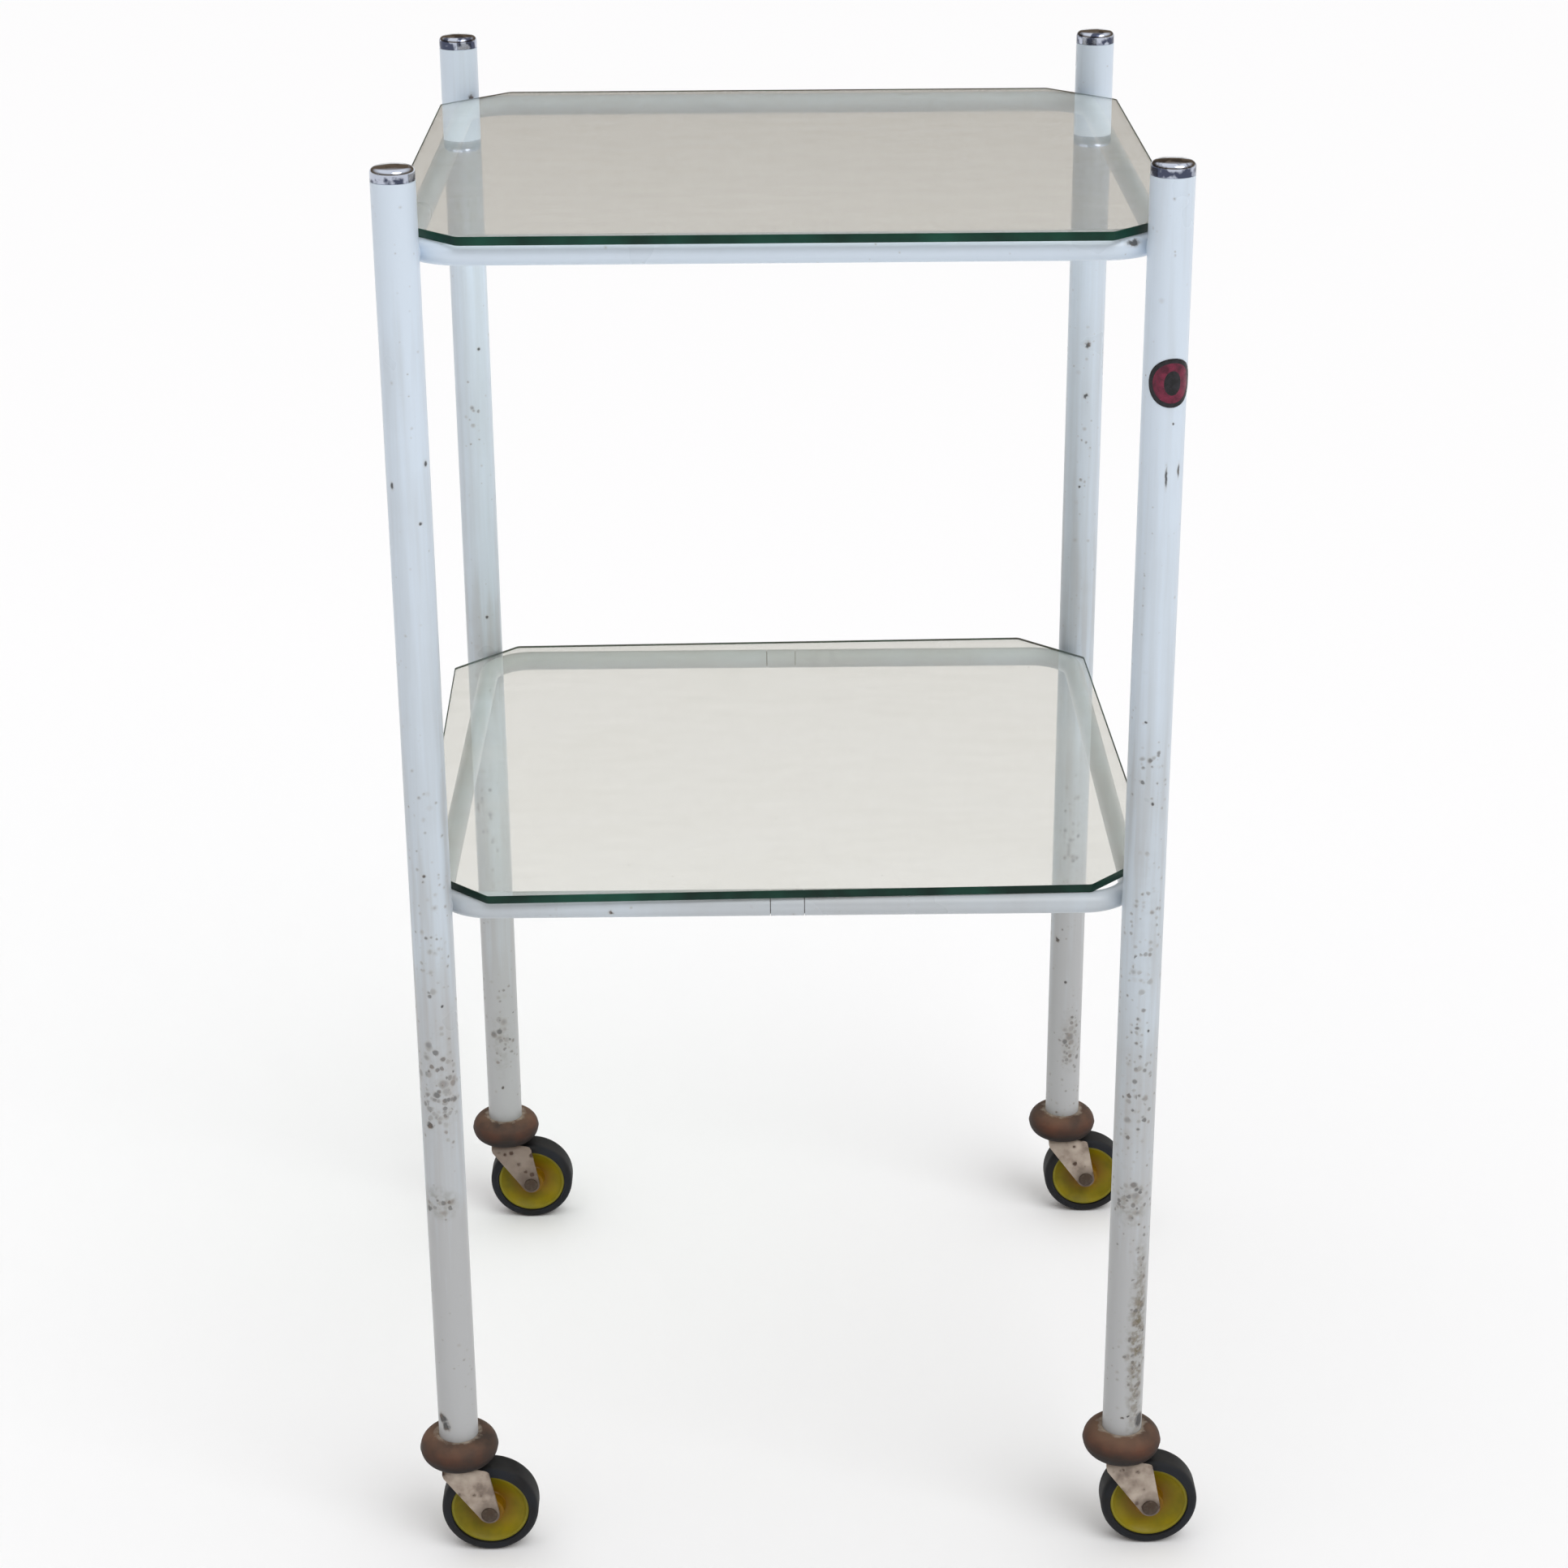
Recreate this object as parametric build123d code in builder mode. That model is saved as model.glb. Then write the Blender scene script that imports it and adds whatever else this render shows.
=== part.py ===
from build123d import *
import os
from math import cos, pi, sin, sqrt

os.makedirs("parts", exist_ok=True)

# Utility trolley: four tube legs, two bent tube rings with loose glass plates, four swivel casters.
# Millimetres, +Z up. The floor is z = 0, the front is -Y, and the casters trail to +X.

# Legs
leg_spacing_x = 425.0        # between leg axes, side to side
leg_spacing_y = 425.0        # between leg axes, front to back
leg_diameter = 25.0
leg_wall = 1.5
leg_length = 821.0

# Fits
press_clearance = 0.05       # radial, pieces that are pressed or glued together
running_clearance = 0.06     # radial, shafts that turn

# Leg caps
cap_rim_height = 7.2
cap_dome_height = 1.3
cap_edge_radius = 3.2
cap_spigot_length = 14.0
cap_spigot_wall = 2.0

# Shelf rings
ring_diameter = 13.0
ring_wall = 1.2
ring_bend_radius = 30.0      # to the tube's centreline
upper_ring_drop = 42.0       # ring centreline below the leg's top end
shelf_spacing = 396.0        # between the two ring centrelines
weld_gap = 0.4               # between ring and leg, filled by the weld
weld_size = 4.5              # radius of the weld's outer form
coupler_length = 20.0
coupler_seam = 0.4           # open joint at each end of a coupler
coupler_spigot_length = 15.0
coupler_spigot_wall = 1.5

# Glass plates
plate_thickness = 5.0
plate_overhang_x = 9.0       # past the outside of the ring, at the sides
plate_overhang_y = 3.0       # past the outside of the ring, front and rear
plate_seat_gap = 0.2         # under the plate, above the ring
plate_leg_clearance = 7.0    # from a cut corner to the leg, with the plate in the middle
plate_corner_radius = 4.0
plate_arris = 0.6            # ground edge
upper_plate_shift_x = 0.8    # how far off centre the loose plates lie
upper_plate_shift_y = -1.0
upper_plate_turn = 0.0       # degrees, seen from above
lower_plate_shift_x = -3.5
lower_plate_shift_y = 4.0
lower_plate_turn = 1.4

# Badge
badge_diameter = 28.0        # before it is bent to the leg
badge_thickness = 0.5
badge_drop = 114.0           # centre below the leg's top end
badge_turn = 13.0            # degrees round the leg from straight ahead, to +X

# Wheels
wheel_diameter = 62.0
tyre_depth = 6.0
tyre_width = 20.0
tyre_shoulder = 4.5
disc_rim_width = 16.0
disc_rim_wall = 1.6
disc_web = 4.0
disc_boss_radius = 9.0
bush_wall = 2.0

# Casters
caster_trail = 18.5          # wheel axis behind the swivel axis
axle_diameter = 8.0
axle_head_radius = 5.2
axle_head_height = 1.6
axle_head_edge = 1.0
fork_side_gap = 2.0          # between tyre and prong
fork_top_gap = 1.0           # between tyre and the stem's head
fork_thickness = 2.5
fork_bend_radius = 3.5
fork_lead = 10.5             # crown and prongs ahead of the swivel axis
fork_tail = 18.5             # prongs behind the swivel axis, at the top
crown_tail = 7.5             # crown behind the swivel axis, clear of the tyre
fork_strap = 5.0             # straight part of the prong below the crown's top
fork_tip_radius = 6.5
disc_side_gap = 0.6          # between wheel bush and prong
stem_diameter = 11.0
stem_head_radius = 7.0
stem_head_height = 1.2
stem_end = 4.0               # stem above its retaining ring
washer_radius = 10.0
washer_thickness = 1.5
retainer_depth = 1.0         # groove depth
retainer_reach = 1.5         # ring beyond the stem
retainer_thickness = 1.4
swivel_gap = 0.3
socket_flange = 2.0
socket_length = 42.0

# Buffer rings
bumper_diameter = 50.0
bumper_section = 20.0
bumper_gap = 0.5             # above the fork's crown

# Worked out sizes
leg_radius = leg_diameter / 2
leg_bore = leg_radius - leg_wall
ring_radius = ring_diameter / 2
ring_bore = ring_radius - ring_wall
wheel_radius = wheel_diameter / 2
tyre_seat = wheel_radius - tyre_depth
bumper_radius = bumper_diameter / 2
stem_radius = stem_diameter / 2
axle_radius = axle_diameter / 2
bush_bore = axle_radius + running_clearance
bush_radius = bush_bore + bush_wall
fork_inside = tyre_width / 2 + fork_side_gap
fork_outside = fork_inside + fork_thickness
boss_end = fork_inside - disc_side_gap

# Heights above the floor, from the wheel up
axle_height = wheel_radius
tyre_under_crown = axle_height + sqrt(wheel_radius**2 - max(caster_trail - crown_tail, 0) ** 2)
crown_under = tyre_under_crown + fork_top_gap + stem_head_height
crown_top = crown_under + fork_thickness
washer_top = crown_top + washer_thickness
flange_under = washer_top + swivel_gap
leg_foot = flange_under + socket_flange
leg_top = leg_foot + leg_length
socket_top = leg_foot + socket_length
retainer_under = socket_top + swivel_gap
bumper_middle = crown_top + bumper_gap + bumper_section / 2
upper_ring_height = leg_top - upper_ring_drop
lower_ring_height = upper_ring_height - shelf_spacing

# The casters stick out further to +X, so the frame stands to the left of the middle of the whole
frame_x = -(caster_trail + wheel_radius - bumper_radius) / 2

# The ring's bend touches the leg on the diagonal
ring_inset = (ring_bend_radius + leg_radius + ring_radius + weld_gap) / sqrt(2) - ring_bend_radius
ring_half_x = leg_spacing_x / 2 - ring_inset
ring_half_y = leg_spacing_y / 2 - ring_inset

sides = {"left": -1, "right": 1}
ends = {"front": -1, "rear": 1}
corners = {f"{end}_{side}": (sides[side], ends[end]) for end in ends for side in sides}
rings = {"upper": upper_ring_height, "lower": lower_ring_height}
plate_shifts = {
    "upper": Vector(upper_plate_shift_x, upper_plate_shift_y, 0),
    "lower": Vector(lower_plate_shift_x, lower_plate_shift_y, 0),
}
plate_turns = {"upper": upper_plate_turn, "lower": lower_plate_turn}


def leg_place(corner, height=0.0):
    side, end = corners[corner]
    return Vector(frame_x + side * leg_spacing_x / 2, end * leg_spacing_y / 2, height)


def wheel_place(corner):
    return leg_place(corner, axle_height) + Vector(caster_trail, 0, 0)


def upright_plane(origin):
    # Faces the front: local x is +X and local y is +Z
    return Plane(origin=origin, x_dir=(1, 0, 0), z_dir=(0, -1, 0))


# Legs: plain tubes
for corner in corners:
    with BuildPart() as leg:
        with BuildSketch(Plane(leg_place(corner, leg_foot))):
            Circle(leg_radius)
            Circle(leg_bore, mode=Mode.SUBTRACT)
        extrude(amount=leg_length)
    leg.part.label = f"{corner}_leg"
    export_step(leg.part, f"parts/{corner}_leg.step")

# Leg caps: round-shouldered and nearly flat on top, with a hollow spigot in the leg's bore
for corner in corners:
    spigot_radius = leg_bore - press_clearance
    cap_height = cap_rim_height + cap_dome_height
    dome_radius = (leg_radius**2 + cap_dome_height**2) / (2 * cap_dome_height)
    dome_middle = cap_height - dome_radius + sqrt(dome_radius**2 - leg_radius**2 / 4)
    with BuildPart() as cap:
        with BuildSketch(upright_plane(leg_place(corner, leg_top))):
            with BuildLine():
                Polyline(
                    (0, cap_height),
                    (0, 0),
                    (spigot_radius - cap_spigot_wall, 0),
                    (spigot_radius - cap_spigot_wall, -cap_spigot_length),
                    (spigot_radius, -cap_spigot_length),
                    (spigot_radius, 0),
                    (leg_radius, 0),
                    (leg_radius, cap_rim_height),
                )
                ThreePointArc((leg_radius, cap_rim_height), (leg_radius / 2, dome_middle), (0, cap_height))
            make_face()
        revolve(axis=Axis(leg_place(corner), (0, 0, 1)))
        rim_edge = cap.edges().filter_by(GeomType.CIRCLE).filter_by_position(
            Axis.Z, leg_top + cap_rim_height / 2, leg_top + cap_height
        )
        fillet(rim_edge, radius=cap_edge_radius)
    cap.part.label = f"{corner}_leg_cap"
    export_step(cap.part, f"parts/{corner}_leg_cap.step")

# Shelf rings: two bent halves each, open at the middle of the front and the rear
for level, height in rings.items():
    for side, sign in sides.items():
        open_end = frame_x + sign * (coupler_length / 2 + coupler_seam)
        outer = frame_x + sign * ring_half_x
        with BuildPart() as half:
            with BuildLine(Plane.XY.offset(height)) as route:
                FilletPolyline(
                    (open_end, -ring_half_y),
                    (outer, -ring_half_y),
                    (outer, ring_half_y),
                    (open_end, ring_half_y),
                    radius=ring_bend_radius,
                )
            with BuildSketch(Plane(origin=route.line @ 0, z_dir=route.line % 0)):
                Circle(ring_radius)
                Circle(ring_bore, mode=Mode.SUBTRACT)
            sweep()
        half.part.label = f"{level}_ring_{side}_half"
        export_step(half.part, f"parts/{level}_ring_{side}_half.step")

# Couplers: a short length of the ring with a hollow spigot into each half
for level, height in rings.items():
    for end, sign in ends.items():
        spigot_radius = ring_bore - press_clearance
        spigot_half = coupler_length / 2 + coupler_seam + coupler_spigot_length
        coupler_plane = Plane(origin=(frame_x, sign * ring_half_y, height), z_dir=(1, 0, 0))
        with BuildPart() as coupler:
            with BuildSketch(coupler_plane):
                Circle(ring_radius)
            extrude(amount=coupler_length / 2, both=True)
            with BuildSketch(coupler_plane):
                Circle(spigot_radius)
            extrude(amount=spigot_half, both=True)
            with BuildSketch(coupler_plane):
                Circle(spigot_radius - coupler_spigot_wall)
            extrude(amount=spigot_half, both=True, mode=Mode.SUBTRACT)
        coupler.part.label = f"{level}_ring_{end}_coupler"
        export_step(coupler.part, f"parts/{level}_ring_{end}_coupler.step")

# Welds: the metal between each ring's bend and the inner side of the leg
for level, height in rings.items():
    with BuildPart() as welds:
        for corner, (side, end) in corners.items():
            leg_axis = leg_place(corner, height)
            inward = Vector(-side, -end, 0) / sqrt(2)
            ring_reach = leg_radius + weld_gap + ring_radius
            with BuildSketch(Plane(origin=leg_axis, z_dir=inward)):
                Circle(weld_size)
            extrude(amount=ring_reach)
            with Locations(leg_axis):
                Cylinder(leg_radius + press_clearance, 4 * weld_size, mode=Mode.SUBTRACT)
            with Locations(leg_axis + inward * (ring_reach + ring_bend_radius)):
                Torus(ring_bend_radius, ring_radius + press_clearance, mode=Mode.SUBTRACT)
    welds.part.label = f"{level}_ring_welds"
    export_step(welds.part, f"parts/{level}_ring_welds.step")

# Glass plates: nearly square, with the corners cut to pass between the legs, lying loose and a little askew
for level, height in rings.items():
    half_x = ring_half_x + ring_radius + plate_overhang_x
    half_y = ring_half_y + ring_radius + plate_overhang_y
    leg_reach = sqrt(2) * (leg_radius + plate_leg_clearance)
    corner_cut = half_x + half_y - (leg_spacing_x + leg_spacing_y) / 2 + leg_reach
    plate_place = Vector(frame_x, 0, height + ring_radius + plate_seat_gap) + plate_shifts[level]
    plate_side = Vector(1, 0, 0).rotate(Axis.Z, plate_turns[level])
    with BuildPart() as plate:
        with BuildSketch(Plane(origin=plate_place, x_dir=plate_side, z_dir=(0, 0, 1))) as outline:
            Rectangle(2 * half_x, 2 * half_y)
            chamfer(outline.vertices(), length=corner_cut)
            fillet(outline.vertices(), radius=plate_corner_radius)
        extrude(amount=plate_thickness)
        chamfer(plate.edges().group_by(Axis.Z)[-1] + plate.edges().group_by(Axis.Z)[0], length=plate_arris)
    plate.part.label = f"{level}_glass_plate"
    export_step(plate.part, f"parts/{level}_glass_plate.step")

# Badge: a thin round plate bent to the front right leg, drawn as it looks from its own direction
badge_outline = []
for angle in [pi * step / 12 for step in range(24)]:
    round_the_leg = badge_diameter / 2 * cos(angle)
    badge_outline.append((leg_radius * sin(round_the_leg / leg_radius), badge_diameter / 2 * sin(angle)))
badge_centre = leg_place("front_right", leg_top - badge_drop)
badge_facing = Vector(0, -1, 0).rotate(Axis.Z, badge_turn)
badge_side = Vector(1, 0, 0).rotate(Axis.Z, badge_turn)
with BuildPart() as badge:
    with BuildSketch(Plane(origin=badge_centre, x_dir=badge_side, z_dir=badge_facing)):
        with BuildLine():
            Spline(*badge_outline, periodic=True)
        make_face()
    extrude(amount=leg_diameter)
    with Locations(badge_centre):
        Cylinder(leg_radius + badge_thickness, 2 * badge_diameter, mode=Mode.INTERSECT)
        Cylinder(leg_radius, 2 * badge_diameter, mode=Mode.SUBTRACT)
badge.part.label = "leg_badge"
export_step(badge.part, "parts/leg_badge.step")

# Buffer rings: round section, bored to slip over the foot of the leg
for corner in corners:
    with BuildPart() as bumper:
        with Locations(leg_place(corner, bumper_middle)):
            Torus(bumper_radius - bumper_section / 2, bumper_section / 2)
            Cylinder(leg_radius + press_clearance, 2 * bumper_section, mode=Mode.SUBTRACT)
    bumper.part.label = f"{corner}_buffer_ring"
    export_step(bumper.part, f"parts/{corner}_buffer_ring.step")

# Caster sockets: flanged sleeves in the feet of the legs
for corner in corners:
    with BuildPart() as socket:
        with BuildSketch(Plane(leg_place(corner, flange_under))):
            Circle(leg_radius - press_clearance)
        extrude(amount=socket_flange)
        with BuildSketch(Plane(leg_place(corner, leg_foot))):
            Circle(leg_bore - press_clearance)
        extrude(amount=socket_length)
        with BuildSketch(Plane(leg_place(corner, flange_under))):
            Circle(stem_radius + running_clearance)
        extrude(amount=socket_flange + socket_length, mode=Mode.SUBTRACT)
    socket.part.label = f"{corner}_caster_socket"
    export_step(socket.part, f"parts/{corner}_caster_socket.step")

# Caster stems: riveted under the crown, with a groove for the retaining ring
for corner in corners:
    retainer_top = retainer_under + retainer_thickness
    with BuildPart() as stem:
        with BuildSketch(Plane(leg_place(corner, crown_under))):
            Circle(stem_radius)
        extrude(amount=retainer_top + stem_end - crown_under)
        with BuildSketch(Plane(leg_place(corner, crown_under))):
            Circle(stem_head_radius)
        extrude(amount=-stem_head_height)
        with BuildSketch(Plane(leg_place(corner, retainer_under))):
            Circle(stem_radius)
            Circle(stem_radius - retainer_depth, mode=Mode.SUBTRACT)
        extrude(amount=retainer_thickness, mode=Mode.SUBTRACT)
    stem.part.label = f"{corner}_caster_stem"
    export_step(stem.part, f"parts/{corner}_caster_stem.step")

# Swivel rings: the thrust washer on the crown and the retaining ring in the stem's groove
for corner in corners:
    with BuildPart() as swivel_rings:
        with BuildSketch(Plane(leg_place(corner, crown_top))):
            Circle(washer_radius)
            Circle(stem_radius + press_clearance, mode=Mode.SUBTRACT)
        extrude(amount=washer_thickness)
        with BuildSketch(Plane(leg_place(corner, retainer_under))):
            Circle(stem_radius + retainer_reach)
            Circle(stem_radius - retainer_depth + press_clearance, mode=Mode.SUBTRACT)
        extrude(amount=retainer_thickness)
    swivel_rings.part.label = f"{corner}_swivel_rings"
    export_step(swivel_rings.part, f"parts/{corner}_swivel_rings.step")

# Caster forks: pressed yokes, wide at the crown and tapering to the axle
for corner in corners:
    fork_plane = upright_plane(leg_place(corner))
    fork_middle = (fork_tail - fork_lead) / 2
    fork_width = fork_lead + fork_tail
    with BuildPart() as fork:
        with BuildSketch(fork_plane):
            with Locations((fork_middle, crown_top - fork_strap / 2)):
                Rectangle(fork_width, fork_strap)
            with Locations((caster_trail, axle_height)):
                Circle(fork_tip_radius)
            make_hull()
        extrude(amount=fork_outside, both=True)
        fillet(fork.edges().filter_by(Axis.X).group_by(Axis.Z)[-1], radius=fork_bend_radius)
        with BuildSketch(fork_plane):
            with Locations((fork_middle, crown_under / 2)):
                Rectangle(2 * (fork_width + fork_tip_radius + caster_trail), crown_under)
        extrude(amount=fork_inside, both=True, mode=Mode.SUBTRACT)
        with BuildSketch(Plane(leg_place(corner, crown_under))):
            Circle(stem_radius + press_clearance)
            with Locations((crown_tail + fork_width, 0)):
                Rectangle(2 * fork_width, 2 * fork_inside)
        extrude(amount=fork_thickness, mode=Mode.SUBTRACT)
        with BuildSketch(upright_plane(wheel_place(corner))):
            Circle(axle_radius + press_clearance)
        extrude(amount=fork_outside, both=True, mode=Mode.SUBTRACT)
    fork.part.label = f"{corner}_caster_fork"
    export_step(fork.part, f"parts/{corner}_caster_fork.step")

# Axles: plain pins with a riveted head outside each prong
for corner in corners:
    with BuildPart() as axle:
        with BuildSketch(upright_plane(wheel_place(corner))):
            Circle(axle_radius)
        extrude(amount=fork_outside, both=True)
        for way in (-1, 1):
            head_place = wheel_place(corner) + Vector(0, way * fork_outside, 0)
            with BuildSketch(Plane(origin=head_place, z_dir=(0, way, 0))):
                Circle(axle_head_radius)
            extrude(amount=axle_head_height)
        rivet_edges = axle.edges().group_by(Axis.Y)[0] + axle.edges().group_by(Axis.Y)[-1]
        fillet(rivet_edges, radius=axle_head_edge)
    axle.part.label = f"{corner}_caster_axle"
    export_step(axle.part, f"parts/{corner}_caster_axle.step")

# Wheel discs: a rim, a dished web and a boss
for corner in corners:
    rim_end = disc_rim_width / 2
    rim_inside = tyre_seat - disc_rim_wall
    dish_middle = (disc_boss_radius + 2 * rim_inside) / 3
    dish_depth = disc_web / 2 + (rim_end - disc_web / 2) / 4
    with BuildPart() as disc:
        with BuildSketch(Plane(wheel_place(corner))):
            for way in (-1, 1):
                with BuildLine():
                    Polyline(
                        (disc_boss_radius, way * disc_web / 2),
                        (disc_boss_radius, way * boss_end),
                        (bush_radius + press_clearance, way * boss_end),
                        (bush_radius + press_clearance, 0),
                        (tyre_seat, 0),
                        (tyre_seat, way * rim_end),
                        (rim_inside, way * rim_end),
                    )
                    ThreePointArc(
                        (rim_inside, way * rim_end),
                        (dish_middle, way * dish_depth),
                        (disc_boss_radius, way * disc_web / 2),
                    )
                make_face()
        revolve(axis=Axis(wheel_place(corner), (0, 1, 0)))
    disc.part.label = f"{corner}_wheel_disc"
    export_step(disc.part, f"parts/{corner}_wheel_disc.step")

# Wheel bushes: plain sleeves in the bosses
for corner in corners:
    with BuildPart() as bush:
        with BuildSketch(upright_plane(wheel_place(corner))):
            Circle(bush_radius)
            Circle(bush_bore, mode=Mode.SUBTRACT)
        extrude(amount=boss_end, both=True)
    bush.part.label = f"{corner}_wheel_bush"
    export_step(bush.part, f"parts/{corner}_wheel_bush.step")

# Tyres: solid rubber with round shoulders
for corner in corners:
    with BuildPart() as tyre:
        with BuildSketch(Plane(wheel_place(corner))) as section:
            with Locations(((tyre_seat + press_clearance + wheel_radius) / 2, 0)):
                Rectangle(tyre_depth - press_clearance, tyre_width)
            fillet(section.vertices().group_by(Axis.X)[-1], radius=tyre_shoulder)
        revolve(axis=Axis(wheel_place(corner), (0, 1, 0)))
    tyre.part.label = f"{corner}_tyre"
    export_step(tyre.part, f"parts/{corner}_tyre.step")
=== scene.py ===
import bpy
import bmesh
from math import acos, asin, atan2, cos, hypot, pi, radians, sin, sqrt, tan
from mathutils import Matrix, Vector


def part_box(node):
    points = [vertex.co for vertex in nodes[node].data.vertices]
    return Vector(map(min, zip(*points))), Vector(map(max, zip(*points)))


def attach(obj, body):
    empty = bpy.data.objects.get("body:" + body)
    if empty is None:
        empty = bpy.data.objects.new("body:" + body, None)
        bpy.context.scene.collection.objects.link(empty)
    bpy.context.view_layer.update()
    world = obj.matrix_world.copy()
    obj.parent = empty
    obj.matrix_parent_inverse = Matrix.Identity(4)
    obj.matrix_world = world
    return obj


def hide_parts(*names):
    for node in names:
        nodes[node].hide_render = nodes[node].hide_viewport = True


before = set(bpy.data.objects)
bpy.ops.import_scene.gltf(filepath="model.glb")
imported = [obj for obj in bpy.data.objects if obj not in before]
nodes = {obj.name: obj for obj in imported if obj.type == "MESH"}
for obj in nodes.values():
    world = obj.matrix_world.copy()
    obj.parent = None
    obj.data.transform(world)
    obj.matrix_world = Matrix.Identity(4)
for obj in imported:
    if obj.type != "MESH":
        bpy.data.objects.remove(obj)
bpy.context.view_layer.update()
corners = ("front_left", "front_right", "rear_left", "rear_right")
levels = ("upper", "lower")
mm = 0.001
print("frame loaded:", len(nodes), "nodes")


def hexColour(code):
    # sRGB hex to the linear colour that sockets take
    parts = [int(code[i:i + 2], 16) / 255 for i in (1, 3, 5)]
    return tuple(c / 12.92 if c <= 0.04045 else ((c + 0.055) / 1.055) ** 2.4 for c in parts) + (1.0,)


def perMm(size):
    # texture scale that makes one feature this many millimetres across
    return 1000 / size


def nodeAdder(tree):
    def add(kind, sockets=None, out=None, **settings):
        # a socket takes an output, a hex colour or a number; gives the output named, or the first in use
        node = tree.nodes.new("ShaderNode" + kind)
        for name, value in settings.items():
            setattr(node, name, value)
        for socket, value in (sockets or {}).items():
            if isinstance(value, bpy.types.NodeSocket):
                tree.links.new(value, node.inputs[socket])
            else:
                node.inputs[socket].default_value = hexColour(value) if isinstance(value, str) else value
        return node.outputs[out] if out else next((each for each in node.outputs if each.enabled), None)
    return add


def newFinish(name, surface, look, **wear):
    # surface adds the nodes of a finish, with the settings in look, and gives what goes to the output
    material = bpy.data.materials.new(name)
    material.use_nodes = True
    material.node_tree.nodes.clear()
    add = nodeAdder(material.node_tree)
    add("OutputMaterial", surface(add, add("TexCoord", out="Object"), look, **wear))
    return material


def ownPattern(add, coords):
    # a fourth coordinate of each piece's own, so far apart that no two corners wear alike
    farApart = 40.0
    seed = add("Math", {0: add("ObjectInfo", out="Random"), 1: farApart}, operation="MULTIPLY")
    return {"Vector": coords, "W": seed}


def farFrom(add, coords, squash, point=(0.0, 0.0, 0.0)):
    # distance from a point, with each axis taken at its own share
    apart = add("VectorMath", {0: coords, 1: point}, operation="SUBTRACT")
    apart = add("VectorMath", {0: apart, 1: squash}, operation="MULTIPLY")
    return add("VectorMath", {0: apart}, operation="LENGTH")


def spotsInCells(add, place, cell, rarity, largest, **settings):
    # a round spot in the few cells whose dice pass the rarity: its radius, and the distance from its middle
    middle = add("TexVoronoi", {**place, "Scale": perMm(cell)}, **settings)
    dice = add("SeparateColor", {0: middle.node.outputs["Color"]})
    return add("MapRange", {0: dice, 1: rarity, 2: 1.0, 4: largest}), middle


def opaque(add, look, colour, rough, relief, metallic=0.0):
    # closes every opaque finish; look gives the depth of its relief in mm and how strongly that shades, and
    # the coat, which is what the shader holds alike all over
    depth, strength = look["relief"]
    bump = add("Bump", {"Height": relief, "Distance": depth * mm, "Strength": strength})
    shown = {"Base Color": colour, "Metallic": metallic, "Roughness": rough, "Normal": bump}
    return {"Surface": add("BsdfPrincipled", {**shown, **look["coat"]})}


# Stoved enamel on steel tube: a hard, fairly glossy bluish white with a faint orange peel.
# Lower down it turns greyer, partly with grime and partly with painted shade. Age shows as dark pepper
# specks that gather in patches, and chips down to rusty steel.
# A kind of speck has its cell in mm, its largest radius as a share of the cell, and the share of cells that
# it takes in a thick patch. The finest specks are drawn coarser than life, to show at all.
enamel = {
    # the worn and grimy tones are greyer lower down: partly grime, partly painted shade
    "fresh": "#d2dfed", "worn": "#bfc8d0", "grimy": "#b0b2b4", "stain": "#6b6350",
    "rust": "#65554a", "bareSteel": "#454648", "halo": "#a19c95",
    # heights in metres where each grade of grime and painted shade begins and where it is full, and how far
    # its line wanders
    "grime": {"worn": (0.82, 0.45), "grimy": (0.52, 0.24)}, "grimeWander": 0.09,
    "peel": 2.5, "cloud": 90, "streak": 5, "runLength": 25, "speckZone": 60, "corrosion": 5,
    "ragged": 4, "shaken": (5, 1.6), "fineChip": 1.5,
    "gloss": 0.33, "relief": (0.06, 0.8), "coat": {"IOR": 1.52},
    "specks": [(3.2, 0.5, 0.72), (5.0, 0.44, 0.62), (8.5, 0.36, 0.5)],
}


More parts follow.
